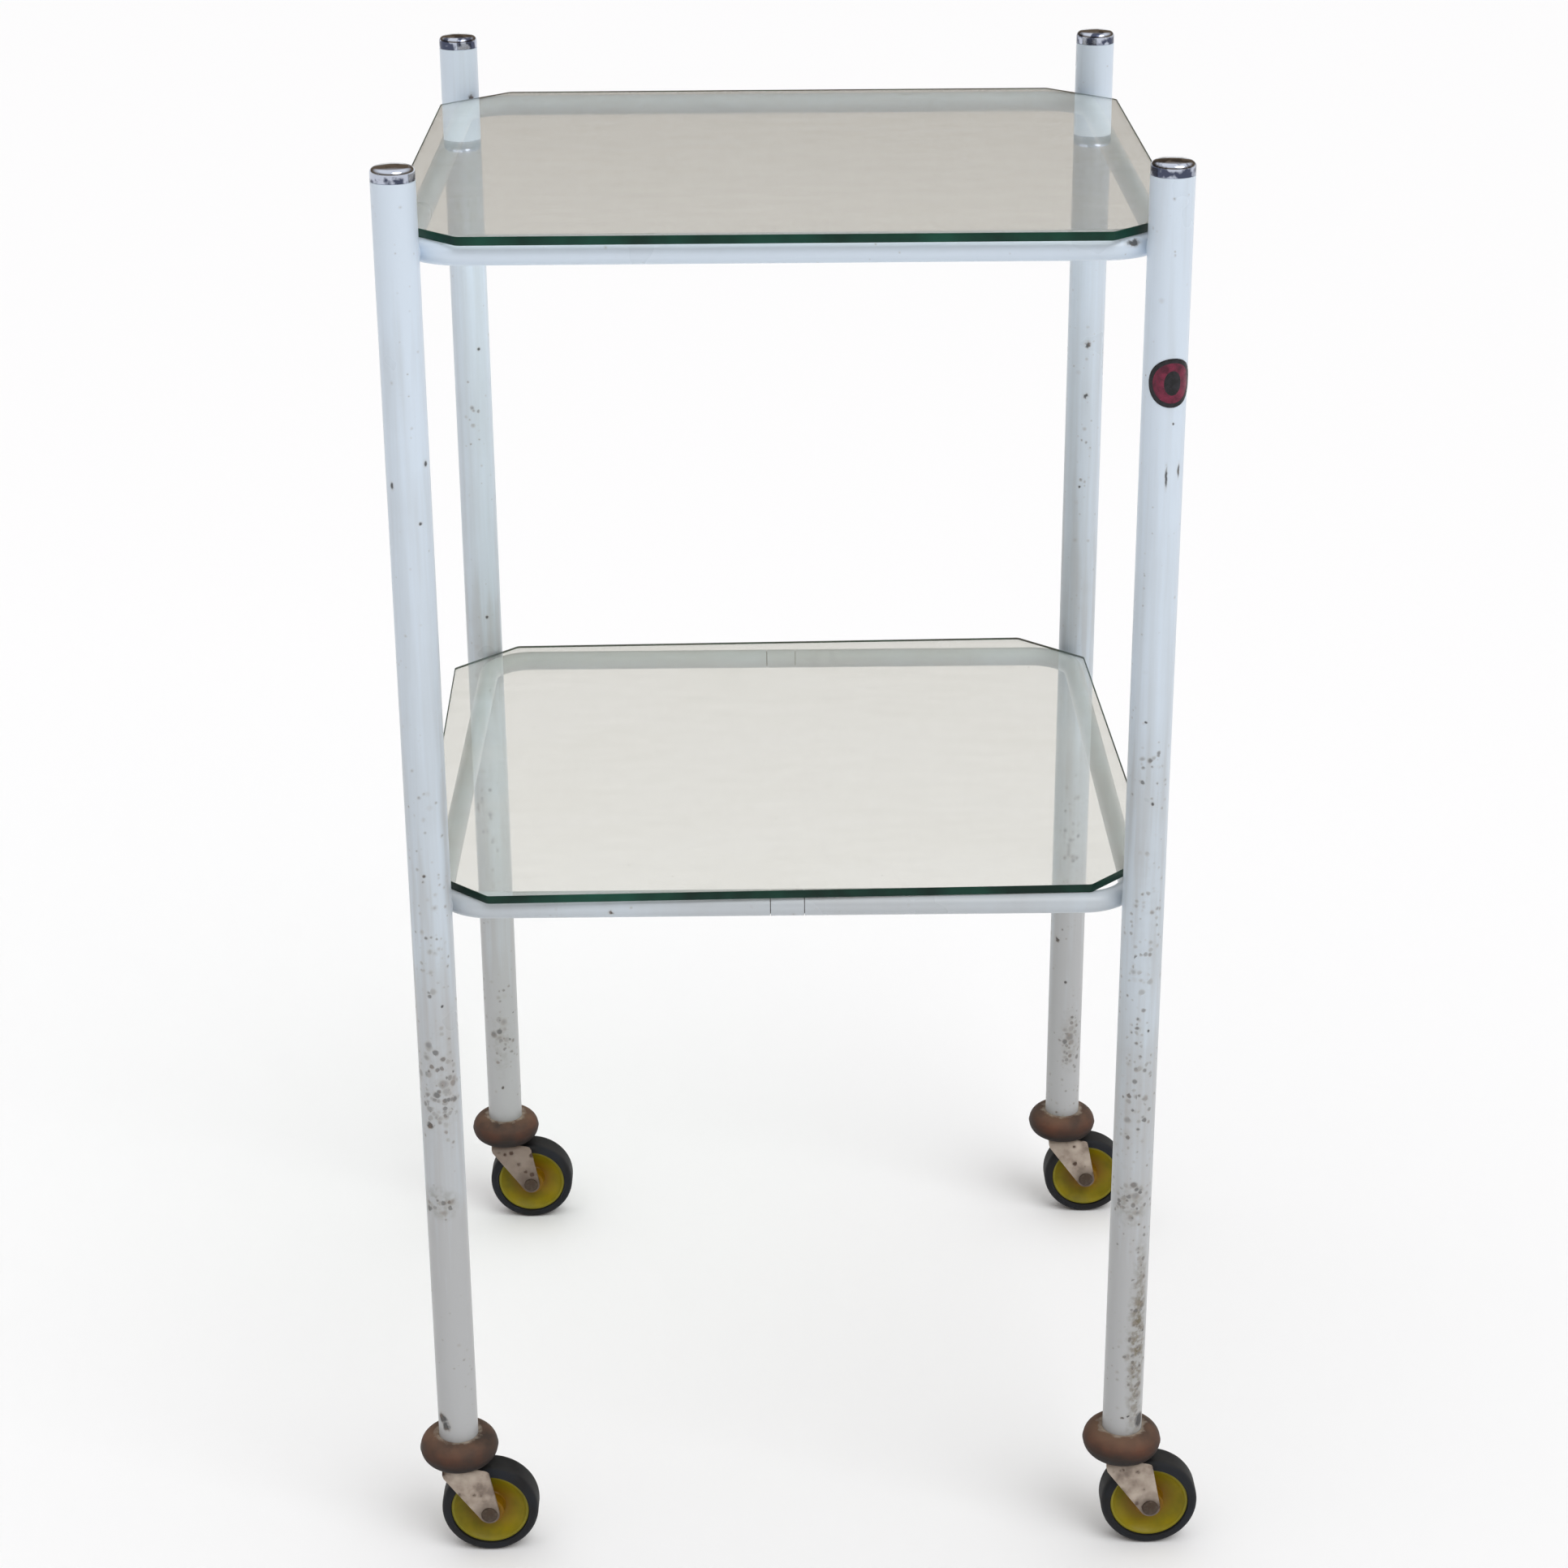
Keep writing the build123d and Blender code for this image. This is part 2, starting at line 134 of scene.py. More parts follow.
def stovedEnamel(add, coords, look, chips=(), patches=(), speckle=1.0, runs=0.1):
    # a chip is a point in metres, a radius in mm and how many times taller than wide it is;
    # a patch adds how thick its specks lie and how brown its stain is
    height = add("SeparateXYZ", {0: coords}, out="Z")
    cloud = add("TexNoise", {"Vector": coords, "Scale": perMm(look["cloud"]), "Detail": 4.0})
    wander = look["grimeWander"]
    uneven = add("MapRange", {0: cloud, 1: 0.3, 2: 0.7, 3: -wander, 4: wander})
    drawnOut = add("VectorMath", {0: coords, 1: (1.0, 1.0, 1 / look["runLength"])}, operation="MULTIPLY")
    streak = add("TexNoise", {"Vector": drawnOut, "Scale": perMm(look["streak"]), "Detail": 3.0})
    streak = add("MapRange", {0: streak, 1: 0.3, 2: 0.7, 3: -runs, 4: runs})
    uneven = add("Math", {0: uneven, 1: streak}, operation="ADD")
    grimeAndShadeLine = add("Math", {0: height, 1: uneven}, operation="ADD")
    # the tones by height are partly grime and partly painted shade, greyer towards the floor
    paint = look["fresh"]
    for tone, (begins, full) in look["grime"].items():
        share = add("MapRange", {0: grimeAndShadeLine, 1: begins, 2: full})
        paint = add("Mix", {0: share, 6: paint, 7: look[tone]}, data_type="RGBA")
    # edges of chips and specks are ragged, because the coordinates that draw them are shaken by a fine noise
    shake = add("TexNoise", {"Vector": coords, "Scale": perMm(look["ragged"]), "Detail": 5.0}, out="Color")
    shake = add("VectorMath", {0: shake, 1: (0.5, 0.5, 0.5)}, operation="SUBTRACT")
    ragged, crumbly = [
        add("VectorMath", {0: shake, 1: (reach * mm,) * 3, 2: coords}, operation="MULTIPLY_ADD")
        for reach in look["shaken"]
    ]
    # how thickly specks lie: a few everywhere, more low down, most in the known patches
    zone = add("TexNoise", {"Vector": coords, "Scale": perMm(look["speckZone"]), "Detail": 2.0})
    zoneShare = add("MapRange", {0: zone, 1: 0.42, 2: 0.66, 3: 0.15})
    lowShare = add("MapRange", {0: height, 1: 0.6, 2: 0.34, 3: 0.1 * speckle, 4: 0.3 * speckle})
    thick = add("Math", {0: zoneShare, 1: lowShare}, operation="MULTIPLY")
    stained = bare = halo = 0.0
    for point, radius, stretch, specks, stain in patches:
        apart = farFrom(add, ragged, (1.0, 1.0, 1 / stretch), point)
        share = add("MapRange", {0: apart, 1: radius * mm, 2: 0.3 * radius * mm})
        thick = add("Math", {0: share, 1: specks, 2: thick}, operation="MULTIPLY_ADD")
        stained = add("Math", {0: share, 1: stain, 2: stained}, operation="MULTIPLY_ADD")
    for cell, largest, share in look["specks"]:
        middle = add("TexVoronoi", {"Vector": crumbly, "Scale": perMm(cell)})
        dice = add("SeparateColor", {0: middle.node.outputs["Color"]}).node.outputs
        strength = add("MapRange", {0: dice[1], 3: 0.15, 4: 0.7})
        excess = add("Math", {0: thick, 1: share, 2: dice[0]}, operation="MULTIPLY_ADD")
        size = add("MapRange", {0: excess, 1: 0.98, 2: 1.3, 4: largest})
        inside = add("Math", {0: size, 1: middle}, operation="SUBTRACT")
        present = add("Math", {0: size, 1: 0.01}, operation="GREATER_THAN")
        speck = add("MapRange", {0: inside, 1: -0.08, 2: 0.14, 4: strength})
        speck = add("Math", {0: speck, 1: present}, operation="MULTIPLY")
        ring = add("MapRange", {0: inside, 1: -0.24, 2: 0.02, 4: 0.35})
        ring = add("Math", {0: ring, 1: present}, operation="MULTIPLY")
        bare = add("Math", {0: bare, 1: speck}, operation="MAXIMUM")
        halo = add("Math", {0: halo, 1: ring}, operation="MAXIMUM")
    for point, radius, stretch in chips:
        # a fine mark would be lost in the coarse shake
        drawn = ragged if radius > look["fineChip"] else crumbly
        apart = farFrom(add, drawn, (1.0, 1.0, 1 / stretch), point)
        chip = add("MapRange", {0: apart, 1: 1.1 * radius * mm, 2: 0.6 * radius * mm, 4: 0.92})
        ring = add("MapRange", {0: apart, 1: 1.7 * radius * mm, 2: radius * mm, 4: 0.25})
        bare = add("Math", {0: bare, 1: chip}, operation="MAXIMUM")
        halo = add("Math", {0: halo, 1: ring}, operation="MAXIMUM")
    corroded = add("TexNoise", {"Vector": coords, "Scale": perMm(look["corrosion"]), "Detail": 4.0})
    patchy = add("MapRange", {0: corroded, 1: 0.42, 2: 0.6, 3: 0.2})
    patchy = add("Math", {0: patchy, 1: stained}, operation="MULTIPLY")
    corroded = add("MapRange", {0: corroded, 1: 0.5, 2: 0.64})
    paint = add("Mix", {0: patchy, 6: paint, 7: look["stain"]}, data_type="RGBA")
    paint = add("Mix", {0: halo, 6: paint, 7: look["halo"]}, data_type="RGBA")
    metal = add("Mix", {0: corroded, 6: look["bareSteel"], 7: look["rust"]}, data_type="RGBA")
    colour = add("Mix", {0: bare, 6: paint, 7: metal}, data_type="RGBA")
    peel = add("TexNoise", {"Vector": coords, "Scale": perMm(look["peel"]), "Detail": 2.0})
    relief = add("Math", {0: bare, 1: -4.0, 2: peel}, operation="MULTIPLY_ADD")
    dull = add("MapRange", {0: cloud, 1: 0.3, 2: 0.7, 3: look["gloss"] - 0.08, 4: look["gloss"] + 0.1})
    rough = add("Mix", {0: bare, 2: dull, 3: 0.85}, data_type="FLOAT")
    return opaque(add, look, colour, rough, relief)


# Bright nickel and chrome plate on pressed steel: a mirror, tarnished blue-black in patches and most at the
# foot of the rim, with pits where the plate has failed.
capPlate = {
    "plate": "#bcc2d0", "tarnish": "#4a4f61", "pit": "#2c2b31",
    "pitCell": 3.2, "patch": 7, "haze": 6, "foot": 5.5, "gloss": 0.09, "relief": (0.08, 0.6), "coat": {},
}


def brightPlate(add, coords, look):
    own = ownPattern(add, coords)
    size, middle = spotsInCells(add, own, look["pitCell"], 0.7, 0.3, voronoi_dimensions="4D")
    inside = add("Math", {0: size, 1: middle}, operation="SUBTRACT")
    pit = add("MapRange", {0: inside, 1: 0.0, 2: 0.08})
    haze = add("TexNoise", {"Vector": coords, "Scale": perMm(look["haze"]), "Detail": 3.0})
    dark = add("TexNoise", {**own, "Scale": perMm(look["patch"]), "Detail": 3.0}, noise_dimensions="4D")
    height, foot = add("SeparateXYZ", {0: coords}, out="Z"), look["foot"] * mm
    low = add("MapRange", {0: height, 1: foot, 2: 0.4 * foot, 4: 0.09})
    dark = add("Math", {0: dark, 1: low}, operation="ADD")
    dark = add("MapRange", {0: dark, 1: 0.5, 2: 0.6})
    colour = add("Mix", {0: dark, 6: look["plate"], 7: look["tarnish"]}, data_type="RGBA")
    colour = add("Mix", {0: pit, 6: colour, 7: look["pit"]}, data_type="RGBA")
    gloss = look["gloss"]
    smooth = add("MapRange", {0: haze, 1: 0.35, 2: 0.75, 3: gloss - 0.06, 4: gloss + 0.12})
    rough = add("Mix", {0: pit, 2: smooth, 3: 0.8}, data_type="FLOAT")
    shining = add("Math", {0: 1.0, 1: pit}, operation="SUBTRACT")
    return opaque(add, look, colour, rough, shining, shining)


# Clear float glass, 5 mm: the faces are fire polished and show what lies behind, faintly green, under a thin
# film of dust, smeared by wiping. The dust grains are drawn coarser than life, to show at all.
plateGlass = {
    "tint": "#fbfbf7", "dust": "#a0937f", "depth": "#8fb7a2", "shadow": "#f2f5f3", "density": 4.0,
    "cloud": 110, "film": 0.06, "smearLength": 72, "smearWidth": 24, "smearTurn": 24, "grainCell": 9,
}


def floatGlass(add, coords, look):
    cloud = add("TexNoise", {"Vector": coords, "Scale": perMm(look["cloud"]), "Detail": 4.0})
    narrow = (1.0, look["smearLength"] / look["smearWidth"], 1.0)
    turned = (0.0, 0.0, radians(look["smearTurn"]))
    wiped = add("Mapping", {"Vector": coords, "Rotation": turned, "Scale": narrow})
    smear = add("TexNoise", {"Vector": wiped, "Scale": perMm(look["smearLength"]), "Detail": 3.0})
    both = add("Math", {0: cloud, 1: smear}, operation="MULTIPLY")
    film = add("MapRange", {0: both, 1: 0.16, 2: 0.4, 3: 0.5 * look["film"], 4: 1.3 * look["film"]})
    size, middle = spotsInCells(add, {"Vector": coords}, look["grainCell"], 0.86, 0.09)
    inside = add("Math", {0: size, 1: middle}, operation="SUBTRACT")
    grain = add("MapRange", {0: inside, 1: 0.0, 2: 0.03, 4: 0.45})
    dusty = add("Math", {0: film, 1: grain}, operation="MAXIMUM")
    colour = add("Mix", {0: dusty, 6: look["tint"], 7: look["dust"]}, data_type="RGBA")
    clear = add("Math", {0: 1.0, 1: dusty}, operation="SUBTRACT")
    rough = add("MapRange", {0: dusty, 1: 0.0, 2: 0.5, 4: 0.25})
    polished = {"Base Color": colour, "Roughness": rough, "IOR": 1.52, "Transmission Weight": clear}
    shader = add("BsdfPrincipled", polished)
    passing = add("BsdfTransparent", {"Color": look["shadow"]})
    shade = add("LightPath", out="Is Shadow Ray")
    surface = add("MixShader", {0: shade, 1: shader, 2: passing})
    depth = add("VolumeAbsorption", {"Color": look["depth"], "Density": look["density"]})
    return {"Surface": surface, "Volume": depth}


# The ground edge of the same glass: fine satin, and dark sea green because the light has come a long way
# through the plate. The grit is drawn coarser than life, to show at all.
glassEdge = {
    "deep": "#05231b", "pale": "#124b3c", "grit": 0.8, "cloud": 45,
    "relief": (0.03, 0.5), "coat": {"IOR": 1.52, "Specular IOR Level": 0.2},
}


def groundGlassEdge(add, coords, look):
    cloud = add("TexNoise", {"Vector": coords, "Scale": perMm(look["cloud"]), "Detail": 4.0})
    share = add("MapRange", {0: cloud, 1: 0.35, 2: 0.7})
    colour = add("Mix", {0: share, 6: look["deep"], 7: look["pale"]}, data_type="RGBA")
    grit = add("TexNoise", {"Vector": coords, "Scale": perMm(look["grit"]), "Detail": 2.0})
    rough = add("MapRange", {0: grit, 1: 0.3, 2: 0.7, 3: 0.28, 4: 0.45})
    return opaque(add, look, colour, rough, grit)


# Old moulded rubber, red-brown all through: matt and even, hazed grey on top by dust, darker below with
# painted shade, and a pale tide mark at the leg. The grain is drawn coarser than life, to show at all. Its
# ramps, like those of the finishes below, hold sockets of a Map Range: 1 where it begins, 2 where it is
# full, 4 the full share.
bufferRubber = {
    # dark is painted shade for the lower half of the ring, not a colour of the rubber
    "body": "#3b3029", "warm": "#623f2f", "dust": "#72604f", "tide": "#a3988a", "dark": "#1a110e",
    "cloud": 20, "crust": 5, "grain": 0.9, "relief": (0.12, 0.6),
    "coat": {"IOR": 1.52, "Specular IOR Level": 0.3},
    "darkBelow": {1: 5 * mm, 2: -4 * mm, 4: 0.95}, "dustAbove": {1: 4 * mm, 2: 10 * mm, 4: 0.55},
    "tideWithin": {1: 21.5 * mm, 2: 18.5 * mm, 4: 0.75}, "tideWander": 11 * mm,
}


def agedRubber(add, coords, look):
    own = ownPattern(add, coords)
    cloud = add("TexNoise", {**own, "Scale": perMm(look["cloud"]), "Detail": 4.0}, noise_dimensions="4D")
    warm = add("MapRange", {0: cloud, 1: 0.35, 2: 0.68})
    height = add("SeparateXYZ", {0: coords}, out="Z")
    # painted shade: the lower half of the ring darkened
    shadeBelow = add("MapRange", {0: height, **look["darkBelow"]})
    onTop = add("MapRange", {0: height, **look["dustAbove"]})
    onTop = add("Math", {0: onTop, 1: warm}, operation="MULTIPLY")
    # the tide mark: old paint and polish left in the groove round the leg
    radius = farFrom(add, coords, (1.0, 1.0, 0.0))
    crust = add("TexNoise", {**own, "Scale": perMm(look["crust"]), "Detail": 4.0}, noise_dimensions="4D")
    wavy = add("Math", {0: crust, 1: look["tideWander"], 2: radius}, operation="MULTIPLY_ADD")
    tide = add("MapRange", {0: wavy, **look["tideWithin"]})
    colour = look["body"]
    for share, layer in ((warm, "warm"), (shadeBelow, "dark"), (onTop, "dust"), (tide, "tide")):
        colour = add("Mix", {0: share, 6: colour, 7: look[layer]}, data_type="RGBA")
    grain = add("TexNoise", {**own, "Scale": perMm(look["grain"]), "Detail": 3.0}, noise_dimensions="4D")
    relief = add("Math", {0: cloud, 1: 1.5, 2: grain}, operation="MULTIPLY_ADD")
    rough = add("MapRange", {0: cloud, 1: 0.3, 2: 0.7, 3: 0.58, 4: 0.8})
    return opaque(add, look, colour, rough, relief)


# Cream gloss paint on pressed mild steel, gone dull and pinkish with dirt, pricked with rust that has come
# through the paint, and dark with oil round the axle.
forkPaint = {
    "cream": "#a19386", "pale": "#b5a89b", "dirt": "#6f6055", "rust": "#4a382e", "oil": "#4b3c31",
    "patch": 10, "rustCell": 5.0, "brush": 1.4, "relief": (0.1, 0.7), "coat": {"IOR": 1.5},
    "axle": (18.5 * mm, 0.0, 31 * mm), "oilWithin": {1: 17 * mm, 2: 8 * mm, 4: 0.85}, "oilWander": 8 * mm,
}


def oldCreamPaint(add, coords, look, soiled=0.0):
    # soiled is the least share of dirt all over
    own = ownPattern(add, coords)
    patch = add("TexNoise", {**own, "Scale": perMm(look["patch"]), "Detail": 4.0}, noise_dimensions="4D")
    pale = add("MapRange", {0: patch, 1: 0.5, 2: 0.68})
    dirt = add("MapRange", {0: patch, 1: 0.5, 2: 0.34, 3: soiled, 4: 0.85})
    apart = farFrom(add, coords, (1.0, 0.0, 1.0), look["axle"])
    apart = add("Math", {0: patch, 1: look["oilWander"], 2: apart}, operation="MULTIPLY_ADD")
    oily = add("MapRange", {0: apart, **look["oilWithin"]})
    brush = add("TexNoise", {**own, "Scale": perMm(look["brush"]), "Detail": 3.0}, noise_dimensions="4D")
    size, middle = spotsInCells(add, own, look["rustCell"], 0.35, 0.52, voronoi_dimensions="4D")
    rough = add("Math", {0: brush, 1: 0.3, 2: middle}, operation="MULTIPLY_ADD")
    inside = add("Math", {0: size, 1: rough}, operation="SUBTRACT")
    bare = add("MapRange", {0: inside, 1: -0.16, 2: -0.02})
    stain = add("MapRange", {0: inside, 1: -0.3, 2: -0.12, 4: 0.4})
    colour = look["cream"]
    for share, layer in ((pale, "pale"), (dirt, "dirt"), (oily, "oil"), (stain, "dirt"), (bare, "rust")):
        colour = add("Mix", {0: share, 6: colour, 7: look[layer]}, data_type="RGBA")
    relief = add("Math", {0: bare, 1: -2.0, 2: brush}, operation="MULTIPLY_ADD")
    dull = add("Mix", {0: bare, 2: 0.48, 3: 0.85}, data_type="FLOAT")
    return opaque(add, look, colour, dull, relief)


# Compression moulded plastic, mustard yellow: satin, browned round the hub partly by oil and partly by
# painted shade of the fork and the dish, and browned by dust in the dish.
wheelPlastic = {
    "mustard": "#938207", "shade": "#756a0c", "oil": "#734603", "dust": "#918f3c",
    # the oil here is partly oil and partly painted shade of the fork and the dish round the hub
    "oilWithin": {1: 24 * mm, 2: 14 * mm, 4: 0.75}, "oilWander": 9 * mm,
    "dustFrom": {1: 21.5 * mm, 2: 24.5 * mm, 4: 0.4}, "flow": 16,
    "relief": (0.1, 0.4), "coat": {"IOR": 1.54, "Specular IOR Level": 0.2},
}


def mustardPlastic(add, coords, look):
    own = ownPattern(add, coords)
    flow = add("TexNoise", {**own, "Scale": perMm(look["flow"]), "Detail": 4.0}, noise_dimensions="4D")
    shade = add("MapRange", {0: flow, 1: 0.35, 2: 0.65})
    # how far from the axle: the wheel turns about its own Y axis
    radius = farFrom(add, coords, (1.0, 0.0, 1.0))
    # round the hub: partly oil, partly painted shade of the fork and the dish
    uneven = add("Math", {0: flow, 1: look["oilWander"], 2: radius}, operation="MULTIPLY_ADD")
    oil = add("MapRange", {0: uneven, **look["oilWithin"]})
    rim = add("MapRange", {0: radius, **look["dustFrom"]})
    colour = look["mustard"]
    for share, layer in ((shade, "shade"), (oil, "oil"), (rim, "dust")):
        colour = add("Mix", {0: share, 6: colour, 7: look[layer]}, data_type="RGBA")
    rough = add("MapRange", {0: flow, 1: 0.3, 2: 0.7, 3: 0.36, 4: 0.55})
    return opaque(add, look, colour, rough, flow)


# Moulded black rubber: near black with a slate bloom, greyer with dust where it meets the floor. The grain is
# drawn coarser than life, to show at all.
tyreRubber = {
    "black": "#0d0d10", "bloom": "#1b1f26", "dust": "#35322a", "patch": 14, "grain": 0.7,
    "dustFrom": {1: 30.2 * mm, 2: 31 * mm, 4: 0.5},
    "relief": (0.12, 0.5), "coat": {"IOR": 1.52, "Specular IOR Level": 0.3},
}


def blackRubber(add, coords, look):
    own = ownPattern(add, coords)
    patch = add("TexNoise", {**own, "Scale": perMm(look["patch"]), "Detail": 4.0}, noise_dimensions="4D")
    bloom = add("MapRange", {0: patch, 1: 0.4, 2: 0.7})
    colour = add("Mix", {0: bloom, 6: look["black"], 7: look["bloom"]}, data_type="RGBA")
    tread = add("MapRange", {0: farFrom(add, coords, (1.0, 0.0, 1.0)), **look["dustFrom"]})
    dust = add("Math", {0: tread, 1: bloom}, operation="MULTIPLY")
    colour = add("Mix", {0: dust, 6: colour, 7: look["dust"]}, data_type="RGBA")
    grain = add("TexNoise", {**own, "Scale": perMm(look["grain"]), "Detail": 3.0}, noise_dimensions="4D")
    rough = add("MapRange", {0: patch, 1: 0.3, 2: 0.7, 3: 0.55, 4: 0.8})
    return opaque(add, look, colour, rough, grain)


# Plain metals of the caster: turned steel gone dark with oil and rust, and a drawn brass sleeve.
turnedSteel = {
    "bright": "#62574e", "dark": "#483d35", "rust": "#4a3829", "grain": 4.5, "rustShare": 0.6, "gloss": 0.48,
    "relief": (0.06, 0.5), "coat": {},
}
drawnBrass = {
    "bright": "#b8965a", "dark": "#7d6234", "rust": "#4a3a22", "grain": 2.6, "rustShare": 0.3, "gloss": 0.36,
    "relief": (0.06, 0.5), "coat": {},
}


def plainMetal(add, coords, look):
    grain = add("TexNoise", {"Vector": coords, "Scale": perMm(look["grain"]), "Detail": 5.0})
    share = add("MapRange", {0: grain, 1: 0.35, 2: 0.65})
    colour = add("Mix", {0: share, 6: look["bright"], 7: look["dark"]}, data_type="RGBA")
    rusty = add("MapRange", {0: grain, 1: 0.54, 2: 0.62, 4: look["rustShare"]})
    colour = add("Mix", {0: rusty, 6: colour, 7: look["rust"]}, data_type="RGBA")
    shining = add("Math", {0: 1.0, 1: rusty}, operation="SUBTRACT")
    rough = add("Mix", {0: rusty, 2: look["gloss"], 3: 0.85}, data_type="FLOAT")
    return opaque(add, look, colour, rough, grain, shining)


# Vitreous enamel fired on a thin plate: deep glassy colour, a little uneven, scratched dull in places.
crimsonEnamel = {
    "thin": "#75203c", "deep": "#4d1128", "pool": 4,
    "relief": (0.05, 0.5), "coat": {"IOR": 1.52, "Specular IOR Level": 0.3},
}
blackEnamel = {**crimsonEnamel, "thin": "#121215", "deep": "#25242a"}


def vitreousEnamel(add, coords, look):
    pool = add("TexNoise", {"Vector": coords, "Scale": perMm(look["pool"]), "Detail": 4.0})
    share = add("MapRange", {0: pool, 1: 0.4, 2: 0.65})
    colour = add("Mix", {0: share, 6: look["thin"], 7: look["deep"]}, data_type="RGBA")
    rough = add("MapRange", {0: pool, 1: 0.3, 2: 0.7, 3: 0.18, 4: 0.4})
    return opaque(add, look, colour, rough, pool)


# chips of the shelf rings at known places: point in metres, radius in mm, how many times taller than wide
ringChips = [
    ((0.1801, -0.2097, 0.8512), 4.0, 0.42), ((-0.118, -0.2135, 0.4497), 1.6, 0.7),
    ((0.186, -0.196, 0.4465), 1.8, 0.8),
]
finishes = {
    "plate": newFinish("chrome_plate_pitted", brightPlate, capPlate),
    "glass": newFinish("float_glass_polished", floatGlass, plateGlass),
    "glassEdge": newFinish("float_glass_ground_edge", groundGlassEdge, glassEdge),
    "buffer": newFinish("moulded_rubber_red_brown", agedRubber, bufferRubber),
    "fork": newFinish("cream_paint_on_pressed_steel", oldCreamPaint, forkPaint),
    "soiledFork": newFinish("cream_paint_soiled_brown", oldCreamPaint, forkPaint, soiled=0.65),
    "disc": newFinish("moulded_plastic_mustard", mustardPlastic, wheelPlastic),
    "tyre": newFinish("moulded_rubber_black", blackRubber, tyreRubber),
    "steel": newFinish("oily_turned_steel", plainMetal, turnedSteel),
    "brass": newFinish("drawn_brass", plainMetal, drawnBrass),
    "crimson": newFinish("vitreous_enamel_crimson", vitreousEnamel, crimsonEnamel),
    "black": newFinish("vitreous_enamel_black", vitreousEnamel, blackEnamel),
    "ring": newFinish("stoved_enamel_rings", stovedEnamel, enamel, chips=ringChips, speckle=0.6, runs=0.01),
}
print("finishes made:", len(finishes))

# Making: how sharp an edge still shades smooth, in degrees; how near points count as one, and the play of a
# press fit, in mm
making = {"smoothTo": 38, "merge": 0.002, "pressFit": 0.05}


def showPiece(name, mesh, place, chosen, body, slot, *replaced):
    for finish in chosen:
        mesh.materials.append(finishes[finish])
    mesh.name = name
    mesh.shade_smooth()
    mesh.set_sharp_from_angle(angle=radians(making["smoothTo"]))
    piece = bpy.data.objects.new(name, mesh)
    piece.location = place
    bpy.context.scene.collection.objects.link(piece)
    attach(piece, body)
    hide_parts(*replaced)
    return piece


def meshFrom(shape):
    mesh = bpy.data.meshes.new("shape")
    shape.to_mesh(mesh)
    shape.free()
    return mesh


def turnedMesh(profile, steps, closed=False, sideways=False):
    # spins a profile of (radius, along) in mm round Z, or round Y for a wheel
    shape = bmesh.new()
    points = [shape.verts.new((radius * mm, 0, along * mm)) for radius, along in profile]
    lines = [shape.edges.new(pair) for pair in zip(points, points[1:])]
    if closed:
        lines.append(shape.edges.new((points[-1], points[0])))
    bmesh.ops.spin(shape, geom=points + lines, cent=(0, 0, 0), axis=(0, 0, 1), angle=2 * pi, steps=steps)
    bmesh.ops.remove_doubles(shape, verts=shape.verts[:], dist=making["merge"] * mm)
    bmesh.ops.recalc_face_normals(shape, faces=shape.faces[:])
    if sideways:
        bmesh.ops.rotate(shape, verts=shape.verts[:], cent=(0, 0, 0), matrix=Matrix.Rotation(-pi / 2, 3, "X"))
    return meshFrom(shape)


def roundedLine(points, rounding, steps=5):
    # rounds each listed corner of a profile: rounding gives a radius in mm, or 0 to leave it sharp
    line = []
    for i, point in enumerate(points):
        here, radius = Vector(point), rounding[i]
        if not radius:
            line.append(tuple(here))
            continue
        before, after = Vector(points[i - 1]), Vector(points[(i + 1) % len(points)])
        inWay, outWay = (here - before).normalized(), (after - here).normalized()
        turn = acos(max(-1, min(1, inWay.dot(outWay))))
        reach = radius * tan(turn / 2)
        start, end = here - inWay * reach, here + outWay * reach
        for step in range(steps + 1):
            t = step / steps
            line.append(tuple((1 - t) ** 2 * start + 2 * t * (1 - t) * here + t * t * end))
    return line


# Legs: plain steel tube with the sharp ends taken off
legTube = {"wall": 1.5, "endBreak": 0.3, "steps": 96}
# chips and patches at known places: height above the floor in mm, degrees round the leg from the front to +X,
# radius in mm, how many times taller than wide; a patch adds how thick its specks lie and how brown its stain
# is; the last of each list lie at the back of the leg
legChips = {
    "front_left": [
        (313, -31, 2.4, 1.0), (101, -45, 3.8, 1.1), (96, -31, 3.3, 1.2), (731, 60, 1.5, 1.2),
        (719, -42, 1.4, 1.6), (697, 32, 1.0, 1.0), (480, -9, 1.1, 1.0), (394, 23, 0.9, 1.0),
        (612, 171, 1.5, 1.4),
    ],
    "front_right": [
        (721, 7, 0.75, 8.0), (724, 44, 0.9, 4.5), (752, 20, 0.8, 1.0), (522, 6, 1.0, 1.2),
        (573, -20, 0.9, 1.0), (94, 52, 4.6, 1.3), (99, 10, 1.3, 0.6), (98, -8, 1.4, 0.6),
        (373, 23, 1.0, 1.0), (548, 196, 1.7, 1.0),
    ],
    "rear_left": [
        (858, 41, 2.2, 1.0), (686, 28, 1.2, 1.0), (491, 17, 1.2, 1.0), (114, 1, 1.0, 1.4),
        (102, 168, 3.6, 1.2), (705, 184, 1.4, 1.5),
    ],
    "rear_right": [
        (686, 0, 1.7, 1.2), (650, 0, 1.7, 1.2), (584, -12, 1.0, 1.0), (232, -41, 2.0, 1.2),
        (198, -7, 1.2, 1.0), (560, 174, 1.8, 1.2), (330, 205, 1.5, 1.0),
    ],
}
